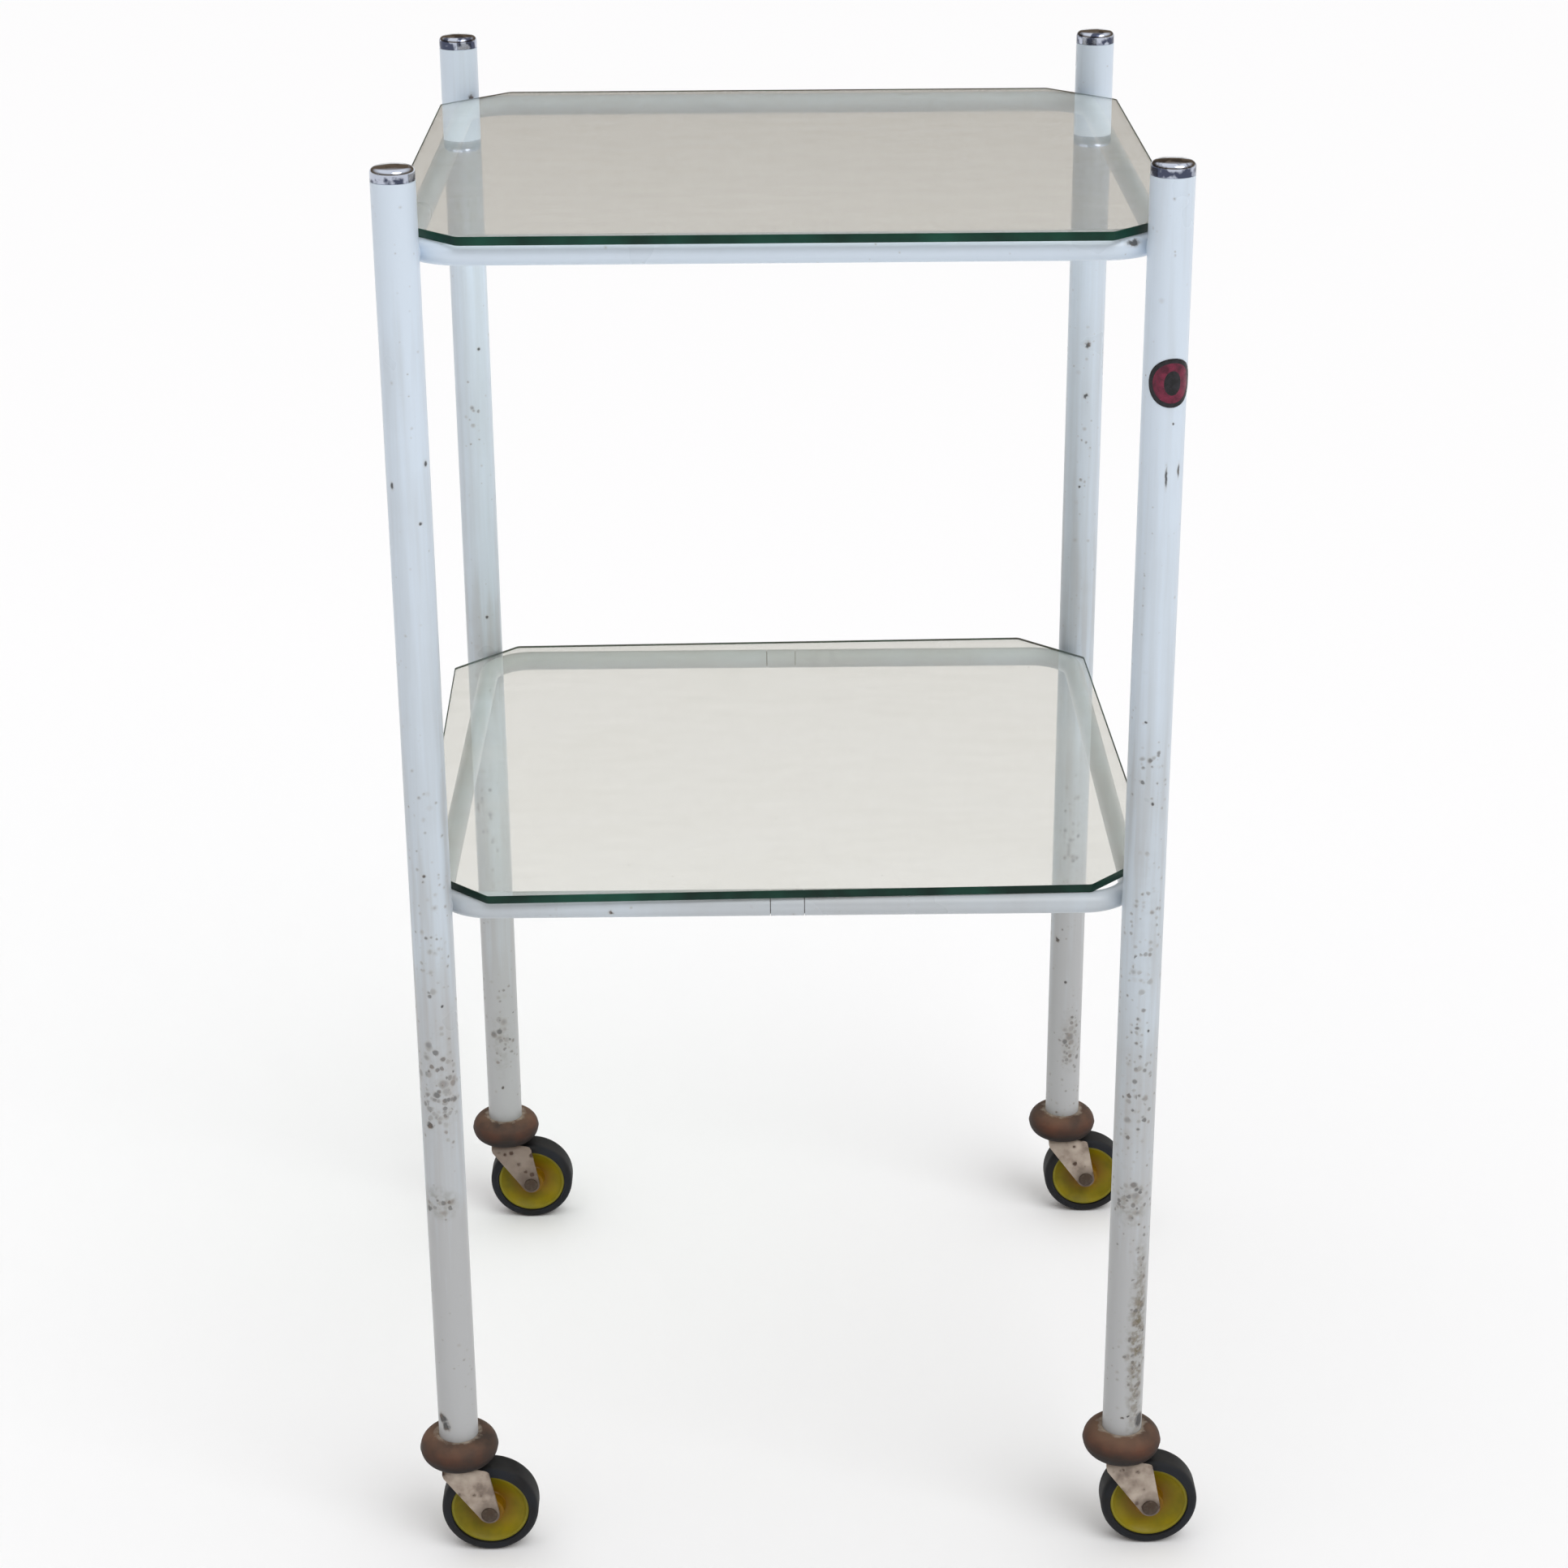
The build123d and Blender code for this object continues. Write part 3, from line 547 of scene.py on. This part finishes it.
legPatches = {
    "front_left": [
        (338, 0, 20, 2.6, 0.75, 0.1), (259, -20, 16, 0.9, 1.0, 0.5), (510, 0, 12, 5.0, 0.3, 0.0),
        (420, 0, 14, 3.0, 0.25, 0.0), (290, 172, 14, 3.0, 0.65, 0.1), (180, 205, 11, 2.0, 0.6, 0.2),
    ],
    "front_right": [
        (253, -6, 13, 1.4, 1.0, 0.45), (150, 30, 8, 11.0, 0.8, 1.0), (335, -5, 16, 3.5, 0.6, 0.05),
        (440, 5, 15, 5.0, 0.45, 0.05), (545, 10, 12, 3.0, 0.45, 0.0),
        (270, 186, 14, 3.0, 0.7, 0.1), (430, 150, 12, 4.0, 0.45, 0.0),
    ],
    "rear_left": [
        (150, 0, 11, 3.0, 0.6, 0.2), (640, 10, 11, 4.0, 0.3, 0.0), (330, 0, 12, 5.0, 0.3, 0.0),
        (262, 178, 14, 3.2, 0.75, 0.15), (470, 200, 12, 4.0, 0.45, 0.0),
    ],
    "rear_right": [
        (150, 20, 11, 3.0, 0.7, 0.25), (600, 0, 11, 4.0, 0.3, 0.0), (300, 0, 12, 5.0, 0.4, 0.0),
        (345, 182, 14, 3.0, 0.7, 0.1), (165, 160, 11, 2.6, 0.8, 0.3),
    ],
}
for corner in corners:
    node = f"{corner}_leg"
    low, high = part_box(node)
    radius, length = (high.x - low.x) / 2 / mm, (high.z - low.z) / mm
    axis = Vector(((low.x + high.x) / 2, (low.y + high.y) / 2, low.z))
    bore, edge = radius - legTube["wall"], legTube["endBreak"]
    half = [(bore, 0), (radius - edge, 0), (radius, edge), (radius, length / 3)]
    profile = half + [(r, length - along) for r, along in reversed(half)]
    mesh = turnedMesh(profile, legTube["steps"], closed=True)
    mesh.transform(Matrix.Translation(axis))
    marks = []
    for listed in (legChips[corner], legPatches[corner]):
        marks.append([])
        for height, turn, *shape in listed:
            onSide = Vector((sin(radians(turn)), -cos(radians(turn)), 0)) * radius * mm
            marks[-1].append(((axis.x + onSide.x, axis.y + onSide.y, height * mm), *shape))
    marks = {"chips": marks[0], "patches": marks[1]}
    finishes[corner] = newFinish(f"stoved_enamel_{corner}_leg", stovedEnamel, enamel, **marks)
    showPiece(f"legTube_{corner}", mesh, (0, 0, 0), [corner], "frame", "white_paint", node)
print("legs made")

# Leg caps: plated, round-shouldered and nearly flat on top, pressed in
legCap = {
    "rim": 7.2, "dome": 1.3, "shoulder": 3.2, "seam": 0.25, "spigot": 14.0, "spigotWall": 2.0,
    "steps": 72, "shoulderSteps": 12, "domeSteps": 8,
}
for corner in corners:
    node = f"{corner}_leg_cap"
    low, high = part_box(node)
    radius, legTop = (high.x - low.x) / 2 / mm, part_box(f"{corner}_leg")[1].z
    spigot, depth = radius - legTube["wall"] - making["pressFit"], -legCap["spigot"]
    seam, shoulder = legCap["seam"], legCap["shoulder"]
    domeRadius = (radius ** 2 + legCap["dome"] ** 2) / (2 * legCap["dome"])
    domeCentre = legCap["rim"] + legCap["dome"] - domeRadius
    roundAt = radius - shoulder
    roundHeight = domeCentre + sqrt((domeRadius - shoulder) ** 2 - roundAt ** 2)
    profile = [(spigot - legCap["spigotWall"], depth), (spigot, depth), (spigot, 0)]
    profile += [(radius - seam, 0), (radius, seam)]
    sweep = pi / 2 - asin(roundAt / (domeRadius - shoulder))
    for step in range(legCap["shoulderSteps"] + 1):
        turn = sweep * step / legCap["shoulderSteps"]
        profile.append((roundAt + shoulder * cos(turn), roundHeight + shoulder * sin(turn)))
    outer = profile[-1][0]
    for step in range(1, legCap["domeSteps"] + 1):
        reach = outer * (1 - step / legCap["domeSteps"])
        profile.append((reach, domeCentre + sqrt(domeRadius ** 2 - reach ** 2)))
    mesh = turnedMesh(profile, legCap["steps"])
    place = ((low.x + high.x) / 2, (low.y + high.y) / 2, legTop)
    showPiece(f"legCap_{corner}", mesh, place, ["plate"], "frame", "cap_chrome", node)
print("caps made")

# Shelf rings: bent tube, two halves joined by a coupler at the front and one at the back
shelfRing = {
    "bend": 30.0, "sides": 14, "bendSteps": 20, "endBreak": 0.25, "couplerHalf": 10.0, "couplerSteps": 48,
    "spigotDrop": 1.25, "paintedSeam": {"upper": 0.4, "lower": 0.0}, "paintedBreak": 0.03,
}


def bentTube(points, bends, radius):
    # Bezier route with true round bends: each corner is a pair of points with circular handles
    curve = bpy.data.curves.new("bentTube", "CURVE")
    curve.dimensions, curve.fill_mode, curve.use_fill_caps = "3D", "FULL", True
    curve.bevel_depth, curve.bevel_resolution = radius, shelfRing["sides"]
    curve.resolution_u = shelfRing["bendSteps"]
    handle, straight = bends * 4 / 3 * tan(pi / 8), bends * 0.3
    knots = [(points[0], points[0], points[1])]
    for before, here, after in zip(points, points[1:], points[2:]):
        inWay, outWay = (here - before).normalized(), (after - here).normalized()
        start, end = here - inWay * bends, here + outWay * bends
        knots.append((start - inWay * straight, start, start + inWay * handle))
        knots.append((end - outWay * handle, end, end + outWay * straight))
    knots.append((points[-2], points[-1], points[-1]))
    spline = curve.splines.new("BEZIER")
    spline.bezier_points.add(len(knots) - 1)
    for knot, (left, here, right) in zip(spline.bezier_points, knots):
        knot.handle_left_type = knot.handle_right_type = "FREE"
        knot.co, knot.handle_left, knot.handle_right = here, left, right
    first, last = spline.bezier_points[0], spline.bezier_points[-1]
    first.handle_left, first.handle_right = first.co, first.co.lerp(points[1], 0.1)
    last.handle_left, last.handle_right = last.co.lerp(points[-2], 0.1), last.co
    carrier = bpy.data.objects.new("bentTube", curve)
    bpy.context.scene.collection.objects.link(carrier)
    bpy.context.view_layer.update()
    mesh = bpy.data.meshes.new_from_object(carrier.evaluated_get(bpy.context.evaluated_depsgraph_get()))
    bpy.data.objects.remove(carrier)
    mesh.materials.clear()
    return mesh


for level in levels:
    for side, way in (("left", -1), ("right", 1)):
        node = f"{level}_ring_{side}_half"
        low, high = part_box(node)
        radius = (high.z - low.z) / 2
        height = (low.z + high.z) / 2
        front, rear = low.y + radius, high.y - radius
        outer = low.x + radius if way < 0 else high.x - radius
        openEnd = high.x if way < 0 else low.x
        turns = ((openEnd, front), (outer, front), (outer, rear), (openEnd, rear))
        mesh = bentTube([Vector((x, y, height)) for x, y in turns], shelfRing["bend"] * mm, radius)
        showPiece(f"ringTube_{level}_{side}", mesh, (0, 0, 0), ["ring"], "frame", "white_paint", node)
    for end in ("front", "rear"):
        node = f"{level}_ring_{end}_coupler"
        low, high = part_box(node)
        radius, filled = (high.z - low.z) / 2 / mm, shelfRing["paintedSeam"][level]
        half, edge = shelfRing["couplerHalf"] + filled, shelfRing["paintedBreak" if filled else "endBreak"]
        spigot, reach = radius - shelfRing["spigotDrop"], (high.x - low.x) / 2 / mm
        profile = [(spigot, -reach), (spigot, -half), (radius - edge, -half), (radius, edge - half)]
        profile += [(r, -along) for r, along in reversed(profile)]
        mesh = turnedMesh(profile, shelfRing["couplerSteps"])
        for face in mesh.polygons:  # dark bare steel shows in an open seam
            face.material_index = int(hypot(face.center.x, face.center.y) < (radius - edge) * mm)
        mesh.transform(Matrix.Translation((low + high) / 2) @ Matrix.Rotation(pi / 2, 4, "Y"))
        chosen = ["ring", "steel"]
        showPiece(f"ringCoupler_{level}_{end}", mesh, (0, 0, 0), chosen, "frame", "white_paint", node)
print("rings made")

# Glass plates: nearly square with cut corners and ground edges; the lower one lies a little askew
glassPlate = {
    "width": 446.138, "depth": 434.138, "cornerCut": 42.715, "cornerRadius": 4.0, "cornerSteps": 6,
    "arris": 0.6, "arrisSteps": 2, "turn": {"upper": 0.0, "lower": 1.4},
}
for level in levels:
    node = f"{level}_glass_plate"
    low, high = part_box(node)
    x, y, cut = glassPlate["width"] / 2 * mm, glassPlate["depth"] / 2 * mm, glassPlate["cornerCut"] * mm
    outline = [(x - cut, -y), (x, cut - y), (x, y - cut), (x - cut, y)]
    outline += [(-x, -y) for x, y in outline]
    shape = bmesh.new()
    shape.faces.new([shape.verts.new((x, y, 0)) for x, y in outline])
    setBack = glassPlate["cornerRadius"] * mm * tan(pi / 8)
    rounded = {"segments": glassPlate["cornerSteps"], "profile": 0.5, "affect": "VERTICES"}
    bmesh.ops.bevel(shape, geom=shape.verts[:], offset=setBack, **rounded)
    raised = bmesh.ops.extrude_face_region(shape, geom=shape.faces[:])["geom"]
    upperVerts = [vert for vert in raised if isinstance(vert, bmesh.types.BMVert)]
    bmesh.ops.translate(shape, verts=upperVerts, vec=(0, 0, high.z - low.z))
    rims = [edge for edge in shape.edges if abs(edge.verts[0].co.z - edge.verts[1].co.z) < 1e-6]
    ground = {"segments": glassPlate["arrisSteps"], "profile": 0.6, "affect": "EDGES"}
    bmesh.ops.bevel(shape, geom=rims, offset=glassPlate["arris"] * mm, **ground)
    bmesh.ops.recalc_face_normals(shape, faces=shape.faces[:])
    for face in shape.faces:
        face.material_index = 0 if abs(face.normal.z) > 0.99 else 1
    middle = Vector(((low.x + high.x) / 2, (low.y + high.y) / 2, low.z))
    lie = Matrix.Translation(middle) @ Matrix.Rotation(radians(glassPlate["turn"][level]), 4, "Z")
    bmesh.ops.transform(shape, verts=shape.verts[:], matrix=lie)
    mesh = meshFrom(shape)
    chosen = ["glass", "glassEdge"]
    showPiece(f"glassPlate_{level}", mesh, (0, 0, 0), chosen, f"{level}_plate", "clear_glass", node)
    for face in mesh.polygons:
        face.use_smooth = face.material_index == 1  # the polished faces are dead flat
print("plates made")

# Badge: a thin round enamelled plate bent to the leg, with a sunk ring of colour between a raised rim and a
# raised oval middle
legBadge = {
    "diameter": 28.0, "turn": 13.0, "thickness": 0.5, "sunk": 0.4, "edge": 0.3, "steps": 72, "bandSteps": 6,
    # each band from here to there, as shares of the half width and the half height; slopes join them
    "bands": [
        ((0.0, 0.0), (0.34, 0.5), "black"), ((0.38, 0.54), (0.8, 0.82), "crimson"),
        ((0.83, 0.85), (0.97, 0.97), "black"),
    ],
}
low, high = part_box("leg_badge")
legLow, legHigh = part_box("front_right_leg")
axis, legRadius = (legLow + legHigh) / 2, (legHigh.x - legLow.x) / 2 / mm
rows = []
for start, end, colour in legBadge["bands"]:
    lift, colourIndex = (legBadge["sunk"], 0) if colour == "crimson" else (legBadge["thickness"], 1)
    for step in range(legBadge["bandSteps"] + 1):
        rows.append((Vector(start).lerp(Vector(end), step / legBadge["bandSteps"]), lift, colourIndex))
rows += [(Vector((1, 1)), lift, 1) for lift in (legBadge["edge"], 0.0)]
shape = bmesh.new()
loops = []
half = legBadge["diameter"] / 2
for share, lift, _ in rows:
    loops.append([])
    for step in range(legBadge["steps"]):
        a = 2 * pi * step / legBadge["steps"]
        turn = radians(legBadge["turn"]) + share.x * half * cos(a) / legRadius
        reach = (legRadius + lift) * mm
        height = (low.z + high.z) / 2 + share.y * half * sin(a) * mm
        loops[-1].append(shape.verts.new((axis.x + reach * sin(turn), axis.y - reach * cos(turn), height)))
for inner, outer, row in zip(loops, loops[1:], rows[1:]):
    for step in range(legBadge["steps"]):
        after = (step + 1) % legBadge["steps"]
        shape.faces.new((inner[step], outer[step], outer[after], inner[after])).material_index = row[2]
bmesh.ops.remove_doubles(shape, verts=shape.verts[:], dist=making["merge"] * mm)
bmesh.ops.recalc_face_normals(shape, faces=shape.faces[:])
chosen = ["crimson", "black"]
showPiece("legBadge", meshFrom(shape), (0, 0, 0), chosen, "frame", "red_enamel", "leg_badge")
print("badge made")

# Buffer rings: moulded rubber with a fine parting line round the middle
bufferRing = {"section": 20.0, "partingLine": 0.25, "steps": 80, "sectionSteps": 40}
for corner in corners:
    node = f"{corner}_buffer_ring"
    low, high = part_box(node)
    section, sides = bufferRing["section"] / 2, bufferRing["sectionSteps"]
    bore, ringCentre = legRadius + making["pressFit"], (high.x - low.x) / 2 / mm - section
    start = acos((bore - ringCentre) / section)
    profile = []
    for step in range(sides + 1):
        turn = start * (2 * step / sides - 1)
        reach = section if step == sides // 2 else section - bufferRing["partingLine"]
        profile.append((ringCentre + reach * cos(turn), section * sin(turn)))
    mesh = turnedMesh(profile, bufferRing["steps"], closed=True)
    middle = (low + high) / 2
    showPiece(f"bufferRing_{corner}", mesh, middle, ["buffer"], "frame", "brown_rubber", node)
print("buffers made")

# Caster forks: one pressed strip, folded down each side of the wheel and tapered to the axle
casterFork = {
    "trail": 18.5, "lead": 10.5, "tail": 18.5, "crownTail": 7.5, "strap": 5.0, "tip": 6.5, "axleHeight": 31.0,
    "thickness": 2.5, "bend": 3.5,
    "across": 14, "tipTurns": range(6, 91, 12), "prongSteps": 12, "foldSteps": 8,
    "cutFrom": 3, "cutOver": 4,  # steps of the fold in which the crown is cut back
    "edgeRound": 0.5, "roundSteps": 3, "roundFrom": 50, "soiled": "rear_left",
}


def forkReach(height, top):
    # how far the prong reaches ahead and behind, in mm from the swivel axis, at one height
    centre, tip = Vector((casterFork["trail"], casterFork["axleHeight"])), casterFork["tip"]
    ahead = Vector((-casterFork["lead"], top - casterFork["strap"]))
    behind = Vector((casterFork["tail"], top))
    limits = []
    for corner, way in ((ahead, 1), (behind, -1)):
        away = corner - centre
        angle = atan2(away.y, away.x) + way * acos(tip / away.length)
        touch = centre + tip * Vector((cos(angle), sin(angle)))
        if height >= corner.y:
            limits.append(corner.x)
        elif height > touch.y:
            limits.append(touch.x + (corner.x - touch.x) * (height - touch.y) / (corner.y - touch.y))
        else:
            limits.append(centre.x - way * sqrt(max(tip ** 2 - (height - centre.y) ** 2, 0)))
    return limits


for corner in corners:
    node = f"{corner}_caster_fork"
    low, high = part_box(node)
    legLow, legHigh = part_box(f"{corner}_leg")
    swivel = Vector(((legLow.x + legHigh.x) / 2, (legLow.y + legHigh.y) / 2, 0))
    top, outside = high.z / mm, (high.y - low.y) / 2 / mm
    bend, thick, across = casterFork["bend"], casterFork["thickness"], casterFork["across"]
    axleHeight, tail, crownTail = (casterFork[name] for name in ("axleHeight", "tail", "crownTail"))
    prongSteps, foldSteps = casterFork["prongSteps"], casterFork["foldSteps"]
    heights = [axleHeight - casterFork["tip"] * cos(radians(a)) for a in casterFork["tipTurns"]]
    heights += [axleHeight + (top - bend - axleHeight) * i / prongSteps for i in range(1, prongSteps + 1)]
    # each row across the strip: outer skin, inner skin, and how far it reaches ahead and behind
    half = [((outside, h), (outside - thick, h), forkReach(h, top)) for h in heights]
    y, z = outside - bend, top - bend
    for step in range(1, foldSteps + 1):  # the fold; the crown is cut back from the tyre behind the swivel
        turn = radians(90 * step / foldSteps)
        ease = min(1, max(0, (step - casterFork["cutFrom"]) / casterFork["cutOver"]))
        back = tail + (crownTail - tail) * ease * ease * (3 - 2 * ease)
        skins = [(y + r * cos(turn), z + r * sin(turn)) for r in (bend, bend - thick)]
        half.append((*skins, [-casterFork["lead"], back]))
    path = half + [((0.0, top), (0.0, top - thick), [-casterFork["lead"], crownTail])]
    path += [((-o[0], o[1]), (-i[0], i[1]), reach) for o, i, reach in reversed(half)]
    shape = bmesh.new()
    skins = []
    for layer in (0, 1):
        grid = []
        for row in path:
            front, back = row[2]
            y, z = row[layer]
            along = [front + (back - front) * i / across for i in range(across + 1)]
            grid.append([shape.verts.new((x * mm, y * mm, z * mm)) for x in along])
        skins.append(grid)
        for a, b in zip(grid, grid[1:]):
            for i in range(across):
                shape.faces.new((a[i], a[i + 1], b[i + 1], b[i]))
    outerSkin, innerSkin = skins
    for i in (0, across):
        for a, b, c, d in zip(outerSkin, outerSkin[1:], innerSkin, innerSkin[1:]):
            shape.faces.new((a[i], b[i], d[i], c[i]))
    for i in (0, -1):
        for a, b, c, d in zip(outerSkin[i], outerSkin[i][1:], innerSkin[i], innerSkin[i][1:]):
            shape.faces.new((a, b, d, c))
    bmesh.ops.recalc_face_normals(shape, faces=shape.faces[:])
    paint = "soiledFork" if corner == casterFork["soiled"] else "fork"
    mesh, body = meshFrom(shape), f"{corner}_swivel"
    piece = showPiece(f"casterFork_{corner}", mesh, swivel, [paint], body, "cream_paint", node)
    rounding = piece.modifiers.new("edgeRound", "BEVEL")
    rounding.width, rounding.segments = casterFork["edgeRound"] * mm, casterFork["roundSteps"]
    rounding.limit_method, rounding.angle_limit = "ANGLE", radians(casterFork["roundFrom"])
print("forks made")

# Axles: pins with a low rivet head at each end
casterAxle = {"headHeight": 1.6, "headRadius": 5.2, "pin": 4.0, "edge": 0.5, "steps": 48}
for corner in corners:
    node = f"{corner}_caster_axle"
    low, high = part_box(node)
    pin, head, edge = casterAxle["pin"], casterAxle["headRadius"], casterAxle["edge"]
    seat, rise = (high.y - low.y) / 2 / mm - casterAxle["headHeight"], casterAxle["headHeight"] - edge
    dome = [(head, seat), (head, seat + edge)]
    dome += [(head * cos(radians(a)), seat + edge + rise * sin(radians(a))) for a in range(15, 91, 15)]
    profile = [(r, -y) for r, y in reversed(dome)] + [(pin, -seat), (pin, seat)] + dome
    mesh = turnedMesh(profile, casterAxle["steps"], sideways=True)
    middle, body = (low + high) / 2, f"{corner}_swivel"
    showPiece(f"casterAxle_{corner}", mesh, middle, ["steel"], body, "plain_steel", node)

# Wheel discs: rim, dished web and boss, moulded in one
wheelDisc = {
    "rimWidth": 16.0, "rimWall": 1.6, "rimDrop": 0.6, "lip": 0.5, "web": 4.0, "foot": 0.8, "bore": 6.11,
    "bossRadius": 9.0, "bossEnd": 11.4, "bossRounds": [0.6, 0.3, 0.3, 0],
    "dishCurve": 2.2, "dishSteps": 16, "steps": 96,
}
for corner in corners:
    node = f"{corner}_wheel_disc"
    low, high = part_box(node)
    seat = (high.x - low.x) / 2 / mm
    rimEnd, rimInside, web = wheelDisc["rimWidth"] / 2, seat - wheelDisc["rimWall"], wheelDisc["web"] / 2
    boss, bossEnd, bore = wheelDisc["bossRadius"], wheelDisc["bossEnd"], wheelDisc["bore"]
    foot, dishSteps = wheelDisc["foot"], wheelDisc["dishSteps"]
    face = [(seat, rimEnd), (rimInside, rimEnd)]
    for step in range(1, dishSteps + 1):  # the dish runs down from the rim to the foot of the boss
        t = step / dishSteps
        fall = (rimEnd - wheelDisc["rimDrop"] - web) * (1 - t) ** wheelDisc["dishCurve"]
        face.append((rimInside + (boss + foot - rimInside) * t, web + fall))
    face += [(boss, web + foot), (boss, bossEnd - foot), (boss - foot, bossEnd), (bore, bossEnd)]
    rounding = [wheelDisc["lip"], wheelDisc["lip"]] + [0] * dishSteps + wheelDisc["bossRounds"]
    face = roundedLine([(seat, 0)] + face + [(bore, 0)], [0] + rounding + [0])[1:-1]
    profile = face + [(r, -y) for r, y in reversed(face)]
    mesh = turnedMesh(profile, wheelDisc["steps"], closed=True, sideways=True)
    middle, body = (low + high) / 2, f"{corner}_wheel"
    showPiece(f"wheelDisc_{corner}", mesh, middle, ["disc"], body, "yellow_plastic", node)

# Tyres: moulded rubber with round shoulders
wheelTyre = {"seat": 25.05, "width": 20.0, "shoulder": 4.5, "innerEdge": 0.7, "steps": 96, "roundSteps": 10}
for corner in corners:
    node = f"{corner}_tyre"
    low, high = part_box(node)
    outer, side, seat = (high.x - low.x) / 2 / mm, wheelTyre["width"] / 2, wheelTyre["seat"]
    loop = [(seat, -side), (outer, -side), (outer, side), (seat, side)]
    rounding = [wheelTyre[name] for name in ("innerEdge", "shoulder", "shoulder", "innerEdge")]
    profile = roundedLine(loop, rounding, steps=wheelTyre["roundSteps"])
    mesh = turnedMesh(profile, wheelTyre["steps"], closed=True, sideways=True)
    middle, body = (low + high) / 2, f"{corner}_wheel"
    showPiece(f"wheelTyre_{corner}", mesh, middle, ["tyre"], body, "black_rubber", node)
print("wheels made")

# Solids that keep their own shape get the finish of the metal they are made of
keptFinishes = {
    "ring_welds": "ring", "caster_socket": "steel", "caster_stem": "steel", "swivel_rings": "steel",
    "wheel_bush": "brass",
}
for name, node in nodes.items():
    for ending, finish in keptFinishes.items():
        if name.endswith(ending):
            for holder in node.material_slots:
                holder.material = finishes[finish]

# Studio: pale floor, a soft overhead light and a soft key from the front right; the walls of the dome are dim
# and warm
studio = {
    "floor": "#fafbfd", "floorSize": 160, "sun": 1.1, "sunAngle": 40, "sunFrom": (0.55, -0.75, 1.1),
    "dome": [
        (0.0, "#f4f4f2"), (0.09, "#ededea"), (0.15, "#6b5d4d"), (0.4, "#6b5d4d"), (0.78, "#ffffff"),
        (1.0, "#ffffff"),
    ],
    "domeLevel": 1.1,
}


def mattFloor(add, coords, look):
    # even all over, so that only light and shadow show on it
    matt = {"Roughness": 0.9, "Specular IOR Level": 0.1}
    return {"Surface": add("BsdfPrincipled", {"Base Color": look["floor"], **matt})}


shape = bmesh.new()
bmesh.ops.create_grid(shape, x_segments=2, y_segments=2, size=studio["floorSize"] / 2)
mesh = meshFrom(shape)
mesh.materials.append(newFinish("matt_pale_floor", mattFloor, studio))
studioFloor = bpy.data.objects.new("studioFloor", mesh)
bpy.context.scene.collection.objects.link(studioFloor)

world = bpy.data.worlds.new("softDome")
bpy.context.scene.world = world
world.use_nodes = True
world.node_tree.nodes.clear()
add = nodeAdder(world.node_tree)
up = add("SeparateXYZ", {0: add("TexCoord", out="Generated")}, out="Z")
walls = add("ValToRGB", {0: up})
stops = walls.node.color_ramp.elements
stops.remove(stops[1])
for place, code in studio["dome"]:
    stop = stops.new(place) if place else stops[0]
    stop.color = hexColour(code)
add("OutputWorld", {"Surface": add("Background", {"Color": walls, "Strength": studio["domeLevel"]})})

sun = bpy.data.lights.new("keySun", "SUN")
sun.energy, sun.angle = studio["sun"], radians(studio["sunAngle"])
keySun = bpy.data.objects.new("keySun", sun)
keySun.rotation_euler = Vector(studio["sunFrom"]).to_track_quat("Z", "Y").to_euler()
bpy.context.scene.collection.objects.link(keySun)

# Camera at the photograph's place; the picture is square, 1932 by 1932
photoView = {
    "place": (-0.02725, -1.946, 1.251), "yaw": 0.442, "pitch": 22.533, "roll": -0.359, "lens": 73.36,
    "sensor": 36.0, "farthest": 200.0,
}
yaw, pitch, roll = (radians(photoView[name]) for name in ("yaw", "pitch", "roll"))
forward = Vector((sin(yaw) * cos(pitch), cos(yaw) * cos(pitch), -sin(pitch)))
right = Vector((cos(yaw), -sin(yaw), 0))
above = right.cross(forward)
right, above = right * cos(roll) + above * sin(roll), above * cos(roll) - right * sin(roll)
lens = bpy.data.cameras.new("photoCamera")
lens.lens, lens.sensor_width, lens.clip_end = (photoView[name] for name in ("lens", "sensor", "farthest"))
camera = bpy.data.objects.new("photoCamera", lens)
turned = Matrix((right, above, -forward)).transposed().to_4x4()
camera.matrix_world = Matrix.Translation(Vector(photoView["place"])) @ turned
bpy.context.scene.collection.objects.link(camera)
bpy.context.scene.camera = camera
bpy.context.scene.view_settings.view_transform = "Standard"
print("studio and camera set")

bpy.context.view_layer.update()
